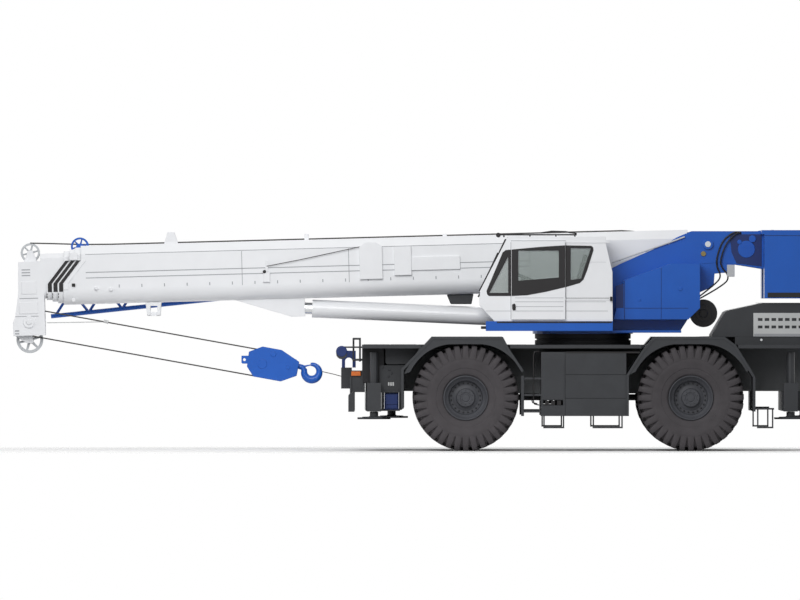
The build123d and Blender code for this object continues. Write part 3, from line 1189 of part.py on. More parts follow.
with BuildPart() as boom_base:
    boom_tube(0.0, BASE_REAR_S, BASE_FRONT_S)
    rake_front(BASE_FRONT_S)
    slide_pads(0, BASE_FRONT_S)
    lug_t = 40.0
    lug_r = 170.0
    lug_root_s = BASE_REAR_S + 150.0
    plate_root_v = BOOM_BOTTOM_V + BOOM_WALL - 1.0
    lift_plate_low_v = LIFT_ROD_V - 150.0
    lift_plate_half = 120.0
    for side in (-1, 1):
        lug_y = pair(side, BOOM_W / 2 - lug_t, BOOM_W / 2)
        lug_outline = [(-lug_r, -lug_r), (-lug_r, lug_r), (lug_root_s, 90.0), (lug_root_s, -420.0)]
        boom_slab(lug_outline, lug_y[0], lug_y[1])
        plate_y = pair(side, ear_inner_y, ear_inner_y + lug_t)
        lift_plate = [
            (LIFT_ROD_S - lift_plate_half, plate_root_v),
            (LIFT_ROD_S - lift_plate_half, lift_plate_low_v),
            (LIFT_ROD_S + lift_plate_half, lift_plate_low_v),
            (LIFT_ROD_S + 1130.0, plate_root_v),
        ]
        boom_slab(lift_plate, plate_y[0], plate_y[1])
    boom_bar(0, 0, PIN_R + RUN_GAP, -BOOM_W, BOOM_W, Mode.SUBTRACT)
    flank_y = (-BOOM_W / 2 - FLANK_PLATE_T, -BOOM_W / 2)
    dome_s = (BASE_REAR_S + 5380.0, BASE_REAR_S + 5780.0)
    dome = [
        (dome_s[0], BOOM_BOTTOM_V + 310.0),
        (dome_s[0], BOOM_TOP_V - BOOM_BEVEL),
        (dome_s[0] + 110.0, BOOM_TOP_V - 75.0),
        (dome_s[1] - 110.0, BOOM_TOP_V - 75.0),
        (dome_s[1], BOOM_TOP_V - BOOM_BEVEL),
        (dome_s[1], BOOM_BOTTOM_V + 310.0),
    ]
    boom_slab(dome, flank_y[0], flank_y[1])
    bracket_s = (BASE_REAR_S + 4870.0, BASE_REAR_S + 5168.0)
    boom_box(bracket_s, flank_y, (BOOM_BOTTOM_V + 364.0, BOOM_TOP_V - BOOM_BEVEL - 10.0))
    ledge_y = (-BOOM_W / 2 - FLANK_PLATE_T * 0.6, -BOOM_W / 2)
    boom_box((BASE_REAR_S + 4013.0, bracket_s[0]), ledge_y, (BOOM_BOTTOM_V + 444.0, BOOM_TOP_V - 356.0))
    roller_s = (BASE_REAR_S + 8965.0, BASE_REAR_S + 9210.0)
    roller_v = BOOM_TOP_V + 145.0
    roller_half_w = 150.0
    roller_plate_t = 20.0
    roller_mid_s = (roller_s[0] + roller_s[1]) / 2
    for side in (-1, 1):
        roller_y = pair(side, roller_half_w, roller_half_w + roller_plate_t)
        roller_plate = [
            (roller_s[0], BOOM_TOP_V - 1.0),
            (roller_mid_s - 60.0, roller_v + 55.0),
            (roller_mid_s + 60.0, roller_v + 55.0),
            (roller_s[1], BOOM_TOP_V - 1.0),
        ]
        boom_slab(roller_plate, roller_y[0], roller_y[1])
    flat_bar(
        boom_point(roller_mid_s, -roller_half_w - roller_plate_t / 2, roller_v),
        boom_point(roller_mid_s, roller_half_w + roller_plate_t / 2, roller_v),
        50.0,
        12,
    )
save(boom_base, "boom_base")

# Rope sheave on a plate at the base section's upper front corner
with BuildPart() as boom_fittings:
    corner_s = BASE_FRONT_S - SLANT_BACK
    guide_s = corner_s + 18.0
    guide_v = BOOM_TOP_V - 8.0
    guide_r = 166.0
    guide_plate_t = 18.0
    guide_t = 28.0
    guide_plate_y = -BOOM_W / 2 - guide_plate_t
    guide_plate = [
        (corner_s - 230.0, SLANT_TOP_V - 60.0),
        (corner_s - 60.0, SLANT_TOP_V - 60.0),
        (guide_s + 45.0, guide_v - 40.0),
        (guide_s + 45.0, guide_v + 45.0),
        (guide_s - 45.0, guide_v + 45.0),
        (corner_s - 230.0, SLANT_TOP_V + 90.0),
    ]
    boom_slab(guide_plate, guide_plate_y, -BOOM_W / 2)
    flat_bar(
        boom_point(guide_s, guide_plate_y - guide_t, guide_v),
        boom_point(guide_s, guide_plate_y, guide_v),
        guide_r,
        24,
    )
save(boom_fittings, "boom_fittings")

SECTION_NAMES = {1: "boom_section_2", 2: "boom_section_3", 3: "boom_section_4"}
for order, section_name in SECTION_NAMES.items():
    with BuildPart() as boom_section:
        section_front_s = BASE_FRONT_S + order * SECTION_LEAD
        boom_tube(order * SECTION_STEP, lug_root_s + order * SECTION_SETBACK, section_front_s)
        rake_front(section_front_s)
        slide_pads(order, section_front_s)
    save(boom_section, section_name)

# Boom tip with the head's cheeks, front plates, sheave hangers and top fork
TIP_ORDER = len(SECTION_NAMES) + 1
TOP_SHEAVE_S = HEAD_FRONT_S - TOP_SHEAVE_BACK
LOW_SHEAVE_V = HEAD_SHEAVE_V - LOW_SHEAVE_DROP
with BuildPart() as boom_tip:
    tip_inset = TIP_ORDER * SECTION_STEP
    tip_front_s = BASE_FRONT_S + TIP_ORDER * SECTION_LEAD
    boom_tube(tip_inset, lug_root_s + TIP_ORDER * SECTION_SETBACK, tip_front_s)
    cheek_y = BOOM_W / 2 - tip_inset
    cheek_t = 30.0
    head_inner_y = cheek_y - cheek_t
    head_rear_s = tip_front_s - 0.6 * SECTION_LEAD
    head_top_v = BOOM_TOP_V - 246.0
    hanger_t = 20.0
    hanger_y = 70.0
    fork_y = 40.0
    for side in (-1, 1):
        cheek_span = pair(side, head_inner_y, cheek_y)
        cheek = [
            (head_rear_s, head_top_v),
            (HEAD_FRONT_S - 119.0, head_top_v - 13.0),
            (HEAD_FRONT_S - 105.0, BOOM_BOTTOM_V + 204.0),
            (HEAD_FRONT_S - 39.0, HEAD_BOX_TOP_V + 81.0),
            (HEAD_FRONT_S, HEAD_BOX_TOP_V),
            (HEAD_FRONT_S, HEAD_BOX_LOW_V),
            (head_rear_s, HEAD_BOX_LOW_V),
        ]
        boom_slab(cheek, cheek_span[0], cheek_span[1])
        hanger_span = pair(side, hanger_y, hanger_y + hanger_t)
        hanger = [
            (HEAD_FRONT_S - cheek_t, HEAD_BOX_TOP_V - 128.0),
            (HEAD_FRONT_S - cheek_t, HEAD_BOX_LOW_V),
            (HEAD_SHEAVE_S + 60.0, LOW_SHEAVE_V - 58.0),
            (HEAD_SHEAVE_S - 60.0, LOW_SHEAVE_V - 58.0),
            (HEAD_SHEAVE_S - 60.0, LOW_SHEAVE_V + 52.0),
            (HEAD_SHEAVE_S + 60.0, HEAD_BOX_TOP_V - 128.0),
        ]
        boom_slab(hanger, hanger_span[0], hanger_span[1])
        fork_span = pair(side, fork_y, fork_y + hanger_t)
        fork = [
            (TOP_SHEAVE_S - 130.0, head_top_v - 40.0),
            (TOP_SHEAVE_S - 40.0, TOP_SHEAVE_RISE + 40.0),
            (TOP_SHEAVE_S + 40.0, TOP_SHEAVE_RISE + 40.0),
            (TOP_SHEAVE_S + 130.0, head_top_v - 40.0),
        ]
        boom_slab(fork, fork_span[0], fork_span[1])
    head_span = (-head_inner_y, head_inner_y)
    boom_box((head_rear_s, HEAD_FRONT_S - 119.0), head_span, (head_top_v - 56.0, head_top_v - 28.0))
    boom_box((HEAD_FRONT_S - cheek_t, HEAD_FRONT_S), head_span, (HEAD_BOX_LOW_V, HEAD_BOX_TOP_V))
save(boom_tip, "boom_tip")


def boom_disc(s, v, radius, y_low, y_high, sides=24):
    """Flat-sided disc across the boom, for sheaves and their pins."""
    flat_bar(boom_point(s, y_low, v), boom_point(s, y_high, v), radius, sides)


# Sheaves of the boom head
with BuildPart() as head_sheaves:
    boom_disc(HEAD_SHEAVE_S, HEAD_SHEAVE_V, SHEAVE_PIN_R, -head_inner_y, head_inner_y, 12)
    for sheave_y in (-3 * ROPE_Y, -ROPE_Y, ROPE_Y, 3 * ROPE_Y):
        boom_disc(HEAD_SHEAVE_S, HEAD_SHEAVE_V, SHEAVE_R, sheave_y - SHEAVE_T / 2, sheave_y + SHEAVE_T / 2)
    boom_disc(HEAD_SHEAVE_S, LOW_SHEAVE_V, LOW_SHEAVE_R, -SHEAVE_T / 2, SHEAVE_T / 2)
    boom_disc(HEAD_SHEAVE_S, LOW_SHEAVE_V, SHEAVE_PIN_R - 20.0, -hanger_y, hanger_y, 12)
    boom_disc(TOP_SHEAVE_S, TOP_SHEAVE_RISE, TOP_SHEAVE_R, -SHEAVE_T, SHEAVE_T)
    boom_disc(TOP_SHEAVE_S, TOP_SHEAVE_RISE, SHEAVE_PIN_R - 25.0, -fork_y, fork_y, 12)
save(head_sheaves, "head_sheaves")

# Lift cylinder: barrel on the slew bed, rod to the boom's bracket
rod_eye = boom_point(LIFT_ROD_S, 0, LIFT_ROD_V)
rod_eye_x = rod_eye[0] - SLEW_X
rod_eye_z = rod_eye[2]
LIFT_SPAN = hypot(rod_eye_x - LIFT_BASE_X, rod_eye_z - LIFT_BASE_Z)
LIFT_BARREL_L = LIFT_SPAN - LIFT_ROD_SHOW
LIFT_DIR = ((rod_eye_x - LIFT_BASE_X) / LIFT_SPAN, (rod_eye_z - LIFT_BASE_Z) / LIFT_SPAN)
LIFT_NECK_L = 260.0


def beside_lift(distance, rise):
    """Side-view place a distance along the lift cylinder's axis and a rise above it."""
    x = LIFT_BASE_X + distance * LIFT_DIR[0] + rise * LIFT_DIR[1]
    z = LIFT_BASE_Z + distance * LIFT_DIR[1] - rise * LIFT_DIR[0]
    return (x, z)


def along_lift(distance):
    """Point on the lift cylinder's axis, a distance from its base pin."""
    x, z = beside_lift(distance, 0.0)
    return at(x, 0, z)


with BuildPart() as lift_barrel:
    neck_half_h = LIFT_EYE_R - 20.0
    rod(along_lift(LIFT_NECK_L), along_lift(LIFT_BARREL_L), LIFT_BARREL_R)
    bore_r = LIFT_BARREL_R - LIFT_BARREL_WALL
    bore_start = LIFT_NECK_L + LIFT_BARREL_WALL
    rod(along_lift(bore_start), along_lift(LIFT_BARREL_L - GLAND_L), bore_r, Mode.SUBTRACT)
    rod(along_lift(bore_start), along_lift(LIFT_BARREL_L), LIFT_ROD_R + RUN_GAP, Mode.SUBTRACT)
    neck = [
        beside_lift(0.0, neck_half_h),
        beside_lift(LIFT_NECK_L + LIFT_BARREL_WALL / 2, neck_half_h),
        beside_lift(LIFT_NECK_L + LIFT_BARREL_WALL / 2, -neck_half_h),
        beside_lift(0.0, -neck_half_h),
    ]
    eye_y = (-LIFT_EYE_W / 2, LIFT_EYE_W / 2)
    side_slab(neck, eye_y[0] + LIFT_EYE_GAP, eye_y[1] - LIFT_EYE_GAP)
    cross_bar(LIFT_BASE_X, LIFT_BASE_Z, LIFT_EYE_R, eye_y[0], eye_y[1])
    cross_bar(LIFT_BASE_X, LIFT_BASE_Z, LIFT_PIN_R + RUN_GAP, eye_y[0], eye_y[1], Mode.SUBTRACT)
save(lift_barrel, "lift_barrel")

with BuildPart() as lift_rod:
    rod(along_lift(bore_start + LIFT_BARREL_R), along_lift(LIFT_SPAN), LIFT_ROD_R)
    cross_bar(rod_eye_x, rod_eye_z, LIFT_EYE_R - 20.0, eye_y[0], eye_y[1])
    cross_bar(rod_eye_x, rod_eye_z, LIFT_PIN_R, eye_y[0], eye_y[1], Mode.SUBTRACT)
save(lift_rod, "lift_rod")

# Hook block: two cheeks with the sheaves between them, the becket tabs and the hook
with BuildPart() as hook_block:
    cheek_outline = [
        (HOOK_SHEAVE_X - 250.0, HOOK_SHEAVE_Z + 216.0),
        (HOOK_SHEAVE_X - 12.0, HOOK_SHEAVE_Z + 307.0),
        (HOOK_SHEAVE_X + 327.0, HOOK_SHEAVE_Z + 245.0),
        (HOOK_SHEAVE_X + 637.0, HOOK_SHEAVE_Z + 37.0),
        (HOOK_SHEAVE_X + 590.0, HOOK_SHEAVE_Z - 210.0),
        (HOOK_SHEAVE_X + 310.0, HOOK_SHEAVE_Z - 309.0),
        (HOOK_SHEAVE_X - 173.0, HOOK_SHEAVE_Z - 222.0),
        (HOOK_SHEAVE_X - 285.0, HOOK_SHEAVE_Z - 47.0),
    ]
    tab_outline = [
        (HOOK_SHEAVE_X - 381.0, HOOK_SHEAVE_Z + 5.0),
        (HOOK_SHEAVE_X - 381.0, HOOK_SHEAVE_Z + 145.0),
        (HOOK_SHEAVE_X - 200.0, HOOK_SHEAVE_Z + 145.0),
        (HOOK_SHEAVE_X - 200.0, HOOK_SHEAVE_Z + 5.0),
    ]
    block_inner_y = 90.0
    block_cheek_t = 50.0
    hook_at = (HOOK_SHEAVE_X + 870.0, HOOK_SHEAVE_Z - 137.0)
    hook_out_r = 160.0
    hook_in_r = 75.0
    hook_half_t = 45.0
    shank_x = (HOOK_SHEAVE_X + 450.0, HOOK_SHEAVE_X + 590.0)
    shank_z = (HOOK_SHEAVE_Z - 167.0, HOOK_SHEAVE_Z + 83.0)
    neck_z = HOOK_SHEAVE_Z - 117.0
    throat_rise = 50.0
    for side in (-1, 1):
        cheek_span = pair(side, block_inner_y, block_inner_y + block_cheek_t)
        side_slab(cheek_outline, cheek_span[0], cheek_span[1])
        side_slab(tab_outline, cheek_span[0], cheek_span[1])
    block_span = (-block_inner_y, block_inner_y)
    flat_bar(
        at(HOOK_SHEAVE_X, block_span[0], HOOK_SHEAVE_Z),
        at(HOOK_SHEAVE_X, block_span[1], HOOK_SHEAVE_Z),
        SHEAVE_PIN_R - 10.0,
        12,
    )
    for sheave_y in (-ROPE_Y, ROPE_Y):
        flat_bar(
            at(HOOK_SHEAVE_X, sheave_y - SHEAVE_T / 2, HOOK_SHEAVE_Z),
            at(HOOK_SHEAVE_X, sheave_y + SHEAVE_T / 2, HOOK_SHEAVE_Z),
            SHEAVE_R,
            24,
        )
    block(shank_x, block_span, shank_z)
    flat_bar(at(shank_x[1] - 20.0, 0, neck_z), at(hook_at[0] - 100.0, 0, neck_z), hook_half_t)
    with BuildSketch(side_plane(hook_half_t)) as hook_ring:
        with Locations(hook_at):
            Circle(hook_out_r)
            Circle(hook_in_r, mode=Mode.SUBTRACT)
        with Locations((hook_at[0] - hook_out_r / 2, hook_at[1] + throat_rise + hook_out_r / 2)):
            Rectangle(hook_out_r, hook_out_r, mode=Mode.SUBTRACT)
    extrude(hook_ring.sketch, amount=2 * hook_half_t)
save(hook_block, "hook_block")

# Taut hoist ropes between the head sheaves and the hook block
with BuildPart() as hoist_ropes:
    head_centre = Vector(*boom_point(HEAD_SHEAVE_S, 0, HEAD_SHEAVE_V))
    hook_centre = Vector(*at(HOOK_SHEAVE_X, 0, HOOK_SHEAVE_Z))
    rope_run = hook_centre - head_centre
    rope_side = Vector(-rope_run.Z, 0, rope_run.X).normalized() * (SHEAVE_R + ROPE_R - ROPE_SEAT)
    for rope_y in (-ROPE_Y, ROPE_Y):
        for tangent in (rope_side, rope_side * -1):
            rope_offset = tangent + Vector(0, rope_y, 0)
            flat_bar(tuple(head_centre + rope_offset), tuple(hook_centre + rope_offset), ROPE_R)
save(hoist_ropes, "hoist_ropes")

# Lattice jib stowed along the right side of the boom
JIB_FRONT = (BASE_FRONT_S + JIB_LEAD, BOOM_BOTTOM_V - 196.0)
JIB_REAR = (BASE_FRONT_S + JIB_LEAD - JIB_L, BOOM_BOTTOM_V + 94.0)
JIB_Y = (BOOM_W / 2 + JIB_GAP, BOOM_W / 2 + JIB_GAP + JIB_W)
RIDGE_Y = (JIB_Y[0] + JIB_Y[1]) / 2
JIB_END_SHARE = 0.02


def jib_point(share, y, rise):
    """Point along the jib from its front end, at a width and a rise above the lower chords."""
    s = JIB_FRONT[0] + (JIB_REAR[0] - JIB_FRONT[0]) * share
    v = JIB_FRONT[1] + (JIB_REAR[1] - JIB_FRONT[1]) * share
    return boom_point(s, y, v + rise)


with BuildPart() as jib:
    for chord_y, rise in ((JIB_Y[0], 0.0), (JIB_Y[1], 0.0), (RIDGE_Y, JIB_H)):
        flat_bar(jib_point(0, chord_y, rise), jib_point(1, chord_y, rise), JIB_CHORD_R)
    lace_share = (1 - 2 * JIB_END_SHARE) / JIB_LACES
    for lace in range(JIB_LACES):
        low_share = JIB_END_SHARE + lace_share * (lace + lace % 2)
        ridge_share = JIB_END_SHARE + lace_share * (lace + 1 - lace % 2)
        for chord_y in JIB_Y:
            lace_top = jib_point(ridge_share, RIDGE_Y, JIB_H)
            flat_bar(jib_point(low_share, chord_y, 0.0), lace_top, JIB_LACE_R, 4)
    for share in (0.15, 0.85):
        flat_bar(jib_point(share, RIDGE_Y, JIB_H), jib_point(share, BOOM_W / 2, JIB_H), 30.0)
save(jib, "jib")
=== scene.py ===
"""Looks of a two-axle rough-terrain crane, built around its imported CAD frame."""

from __future__ import annotations

import json
import logging
import math
from collections.abc import Mapping, Sequence
from dataclasses import dataclass, field, fields, replace
from enum import Enum

import bmesh
import bpy
from mathutils import Matrix, Vector
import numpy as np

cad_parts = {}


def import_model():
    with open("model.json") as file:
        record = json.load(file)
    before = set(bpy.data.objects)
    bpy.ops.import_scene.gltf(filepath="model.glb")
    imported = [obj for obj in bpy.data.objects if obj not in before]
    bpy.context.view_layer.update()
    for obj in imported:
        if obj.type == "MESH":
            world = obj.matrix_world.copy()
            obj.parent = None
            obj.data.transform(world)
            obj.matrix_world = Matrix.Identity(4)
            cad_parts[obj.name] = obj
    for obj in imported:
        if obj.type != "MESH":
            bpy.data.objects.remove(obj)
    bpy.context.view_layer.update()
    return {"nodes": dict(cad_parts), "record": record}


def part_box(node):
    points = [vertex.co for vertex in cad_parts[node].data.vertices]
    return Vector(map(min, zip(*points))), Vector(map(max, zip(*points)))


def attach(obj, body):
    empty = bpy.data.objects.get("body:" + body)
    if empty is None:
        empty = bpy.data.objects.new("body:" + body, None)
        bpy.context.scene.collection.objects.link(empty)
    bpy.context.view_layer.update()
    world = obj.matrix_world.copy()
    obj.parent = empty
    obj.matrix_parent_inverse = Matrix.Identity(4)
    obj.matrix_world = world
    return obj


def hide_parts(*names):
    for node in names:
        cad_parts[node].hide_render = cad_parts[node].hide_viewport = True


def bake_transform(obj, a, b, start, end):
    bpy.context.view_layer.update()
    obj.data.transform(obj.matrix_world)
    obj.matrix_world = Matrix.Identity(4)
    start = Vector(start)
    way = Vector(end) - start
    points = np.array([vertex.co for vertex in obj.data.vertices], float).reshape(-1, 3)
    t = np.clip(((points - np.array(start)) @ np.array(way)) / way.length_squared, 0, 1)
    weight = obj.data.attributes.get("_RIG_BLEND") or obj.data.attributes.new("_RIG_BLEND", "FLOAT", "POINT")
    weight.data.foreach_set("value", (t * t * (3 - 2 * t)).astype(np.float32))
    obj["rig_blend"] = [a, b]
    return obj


LOG = logging.getLogger("crane")

Pair = tuple[float, float]
Triple = tuple[float, float, float]
Outline = tuple[Pair, ...]

ACROSS = Vector((0.0, 1.0, 0.0))
UPRIGHT = Vector((0.0, 0.0, 1.0))
MM = 0.001
SMALL = 1e-6
SLEW_X = 2862.89
PIXEL = 17.5
PHOTO_SLEW_PX = 584.0
PHOTO_GROUND_PY = 451.0
PIN_X = 2193.0
PIN_Z = 3622.0
BOOM_TILT = math.radians(1.52)
AXLE_Z = 930.0
CORNERS = ("front_left", "front_right", "rear_left", "rear_right")
LEFT = -1.0
RIGHT = 1.0
QUARTER = 90.0
SIDES = {"left": LEFT, "right": RIGHT}


class Space(Enum):
    """Ways of stating a side-view place."""

    CRANE = "millimetres from the slew axis and the ground"
    PHOTO = "pixels of the photo"
    BOOM = "millimetres along and above the boom's line"


def place(space: Space, along: float, width: float, up: float) -> Vector:
    """Turn a side-view place and a width into a point of the frame.

    Args:
        space: What the side-view numbers mean.
        along: First side-view number.
        width: Distance to the right of the middle, in millimetres.
        up: Second side-view number.

    Returns:
        The point in metres.
    """
    if space is Space.PHOTO:
        x = (along - PHOTO_SLEW_PX) * PIXEL
        z = (PHOTO_GROUND_PY - up) * PIXEL
    elif space is Space.BOOM:
        x = PIN_X - along * math.cos(BOOM_TILT) - up * math.sin(BOOM_TILT)
        z = PIN_Z - along * math.sin(BOOM_TILT) + up * math.cos(BOOM_TILT)
    else:
        x, z = along, up
    return Vector((SLEW_X + x, width, z)) * MM


def arc(centre: Pair, radius: float, start: float, end: float, steps: int) -> Outline:
    """Points on an arc in a side view.

    Args:
        centre: Centre of the arc.
        radius: Its radius.
        start: First angle in degrees.
        end: Last angle in degrees.
        steps: Number of spans.

    Returns:
        The points from start to end.
    """
    angles = (math.radians(start + (end - start) * step / steps) for step in range(steps + 1))
    return tuple((centre[0] + radius * math.cos(a), centre[1] + radius * math.sin(a)) for a in angles)


def about(middle: float, half: float) -> Pair:
    """Pair of numbers at the same distance from a middle."""
    return middle - half, middle + half


def moved(outline: Sequence[Pair], by: Pair) -> Outline:
    """Outline moved in its side view."""
    return tuple((along + by[0], up + by[1]) for along, up in outline)


def at_width(width: float, *spots: Pair) -> tuple[Triple, ...]:
    """Side-view places that share one width."""
    return tuple((along, width, up) for along, up in spots)


def round_spot(turn: float, radius: float) -> Vector:
    """Place on a circle across the crane, in metres from its middle, for a radius in millimetres."""
    return Vector((math.cos(turn), 0.0, math.sin(turn))) * radius * MM


def side_of(corner: str) -> float:
    """Outward direction of a corner: -1 on the left, 1 on the right."""
    return SIDES[corner.rsplit("_", 1)[1]]


def cad_box(node: str) -> tuple[Triple, Triple]:
    """Box of a CAD node.

    Args:
        node: Name of the node.

    Returns:
        Its low and high corner, in millimetres from the slew axis, the middle and the ground.
    """
    low, high = ((x / MM - SLEW_X, y / MM, z / MM) for x, y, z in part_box(node))
    return low, high


class Finish(Enum):
    """Finishes, valued by the record's slot, or by a free name for small trim."""

    WHITE = "white_paint"
    BLUE = "blue_paint"
    CHASSIS = "chassis_grey"
    PANEL = "panel_grey"
    IRON = "engine_iron"
    RIM = "rim_grey"
    TYRE = "tyre"
    BLACK = "black_plastic"
    GLASS = "glass"
    SEAT = "seat_fabric"
    CHROME = "chrome"
    SHEAVE = "sheave_grey"
    ROPE = "rope_steel"
    BEAM = "beam_paint"
    ORANGE = "orange_lens"
    LENS = "clear_lens"
    BRONZE = "bronze_pin"
    SEAM = "seam_grey"
    NAVY = "navy_paint"
    # Painted light: lighter than the chassis grey, so that the shaded carrier frame reads dark grey instead
    # of black
    FRAME_PAINTED_LIGHT = "frame_painted_light_grey"
    TREAD = "tread_plate"
    RED = "red_lens"
    JACK = "jack_steel"


# Nodes whose look differs from their slot, by the start of their names
OWN_FINISHES = {
    # The carrier frame gets a lighter grey than its chassis paint: painted light on its shaded sides
    "carrier_frame": Finish.FRAME_PAINTED_LIGHT,
    "hook_holder": Finish.NAVY,
    "outrigger_beam": Finish.BEAM,
    "jack_": Finish.JACK,
}


@dataclass(frozen=True)
class PaintSpec:
    """Numbers of one procedural material.

    Attributes:
        colour: Linear base colour.
        rough: Roughness.
        metal: Metallic share.
        coat: Clear coat weight.
        shine: Level of the mirror reflection.
        alpha: Opacity.
        edge: Radius of the softened edges in metres.
        mottle: Strength of the colour variation.
        grain: Noise scale of the variation.
        bump: Strength of the fine bump.
    """

    colour: Triple
    rough: float = 0.4
    metal: float = 0.0
    coat: float = 0.0
    shine: float = 0.28
    alpha: float = 1.0
    edge: float = 0.006
    mottle: float = 0.06
    grain: float = 3.0
    bump: float = 0.0

    def inputs(self) -> dict[str, object]:
        """Inputs of the shared surface group.

        Returns:
            Value of each input, by its name.
        """
        names = {"rough": "Roughness", "mottle": "Mottle", "grain": "Grain", "edge": "Edge", "bump": "Bump"}
        numbers = {label: getattr(self, name) for name, label in names.items()}
        return {"Colour": (*self.colour, 1.0), **numbers}


PAINTS: dict[Finish, PaintSpec] = {
    Finish.WHITE: PaintSpec((0.83, 0.84, 0.86), 0.28, coat=0.35, edge=0.012, mottle=0.02),
    Finish.BLUE: PaintSpec((0.01, 0.1, 0.47), 0.34, coat=0.12, edge=0.01, mottle=0.04),
    Finish.CHASSIS: PaintSpec((0.034, 0.036, 0.04), 0.5, edge=0.008, mottle=0.12),
    Finish.PANEL: PaintSpec((0.56, 0.57, 0.57), 0.42, mottle=0.05),
    Finish.IRON: PaintSpec((0.012, 0.012, 0.014), 0.6, mottle=0.2, grain=8.0, bump=0.15),
    Finish.RIM: PaintSpec((0.052, 0.054, 0.062), 0.5, edge=0.004, mottle=0.12),
    Finish.TYRE: PaintSpec((0.058, 0.053, 0.057), 0.78, edge=0.01, mottle=0.16, grain=5.0, bump=0.12),
    Finish.BLACK: PaintSpec((0.012, 0.011, 0.012), 0.38, mottle=0.05),
    Finish.GLASS: PaintSpec(
        (0.5, 0.58, 0.55), 0.04, coat=0.6, shine=0.5, alpha=0.24, edge=0.002, mottle=0.0
    ),
    Finish.SEAT: PaintSpec((0.03, 0.03, 0.033), 0.9, edge=0.03, mottle=0.2, grain=60.0, bump=0.3),
    Finish.CHROME: PaintSpec((0.7, 0.71, 0.72), 0.16, metal=1.0, mottle=0.02),
    Finish.SHEAVE: PaintSpec((0.52, 0.54, 0.56), 0.45, mottle=0.06),
    Finish.ROPE: PaintSpec((0.07, 0.068, 0.066), 0.55, metal=0.5, edge=0.0, mottle=0.1),
    Finish.BEAM: PaintSpec((0.012, 0.03, 0.13), 0.42, mottle=0.08),
    Finish.ORANGE: PaintSpec((0.62, 0.14, 0.015), 0.3, coat=0.4, mottle=0.02),
    Finish.LENS: PaintSpec((0.75, 0.77, 0.78), 0.12, coat=0.6, mottle=0.0),
    Finish.BRONZE: PaintSpec((0.2, 0.16, 0.07), 0.42, metal=0.7, mottle=0.1),
    Finish.SEAM: PaintSpec((0.34, 0.35, 0.37), 0.5, edge=0.0, mottle=0.02),
    Finish.NAVY: PaintSpec((0.01, 0.028, 0.13), 0.4, coat=0.06, mottle=0.05),
    # Painted light: a lighter grey than the chassis paint, for the carrier frame in shade
    Finish.FRAME_PAINTED_LIGHT: PaintSpec((0.12, 0.125, 0.13), 0.6, edge=0.008, mottle=0.1),
    Finish.TREAD: PaintSpec((0.05, 0.052, 0.056), 0.48, mottle=0.16, grain=4.0),
    Finish.RED: PaintSpec((0.42, 0.012, 0.012), 0.25, coat=0.5, mottle=0.02),
    Finish.JACK: PaintSpec((0.7, 0.71, 0.72), 0.2, metal=1.0, mottle=0.02),
}


@dataclass(frozen=True)
class Split:
    """Plane at which a material changes its colour.

    Attributes:
        axis: Object axis that is measured, without its sign.
        limit: Place of the plane in metres.
        near: Finish whose colour lies below the limit.
        far: Finish whose colour lies beyond it.
    """

    axis: str
    limit: float
    near: Finish
    far: Finish


SPLITS: dict[Finish, Split] = {
    Finish.BEAM: Split("Y", 1.16, Finish.BEAM, Finish.CHASSIS),
    Finish.JACK: Split("Z", 0.61, Finish.CHASSIS, Finish.CHROME),
}


class NodeTool:
    """Short way of adding and joining shader nodes in one tree."""

    def __init__(self, tree: bpy.types.NodeTree) -> None:
        """Work on one node tree."""
        self.tree = tree

    def add(
        self, kind: str, inputs: Mapping[str | int, object] | None = None, **values: object
    ) -> bpy.types.Node:
        """Add a node and feed its inputs.

        Args:
            kind: Node type without its ShaderNode prefix, or a full type name.
            inputs: What feed takes.
            **values: Attributes of the node.

        Returns:
            The new node.
        """
        full = kind if kind.startswith("Node") else f"ShaderNode{kind}"
        node = self.tree.nodes.new(full)
        for name, value in values.items():
            setattr(node, name, value)
        self.feed(node, inputs or {})
        return node

    def feed(self, node: bpy.types.Node, inputs: Mapping[str | int, object]) -> None:
        """Set or link a node's inputs.

        Args:
            node: The node.
            inputs: Value of each input, by name or number, or the output that is linked to it.
        """
        for name, value in inputs.items():
            if isinstance(value, bpy.types.NodeSocket):
                self.tree.links.new(value, node.inputs[name])
            else:
                node.inputs[name].default_value = value


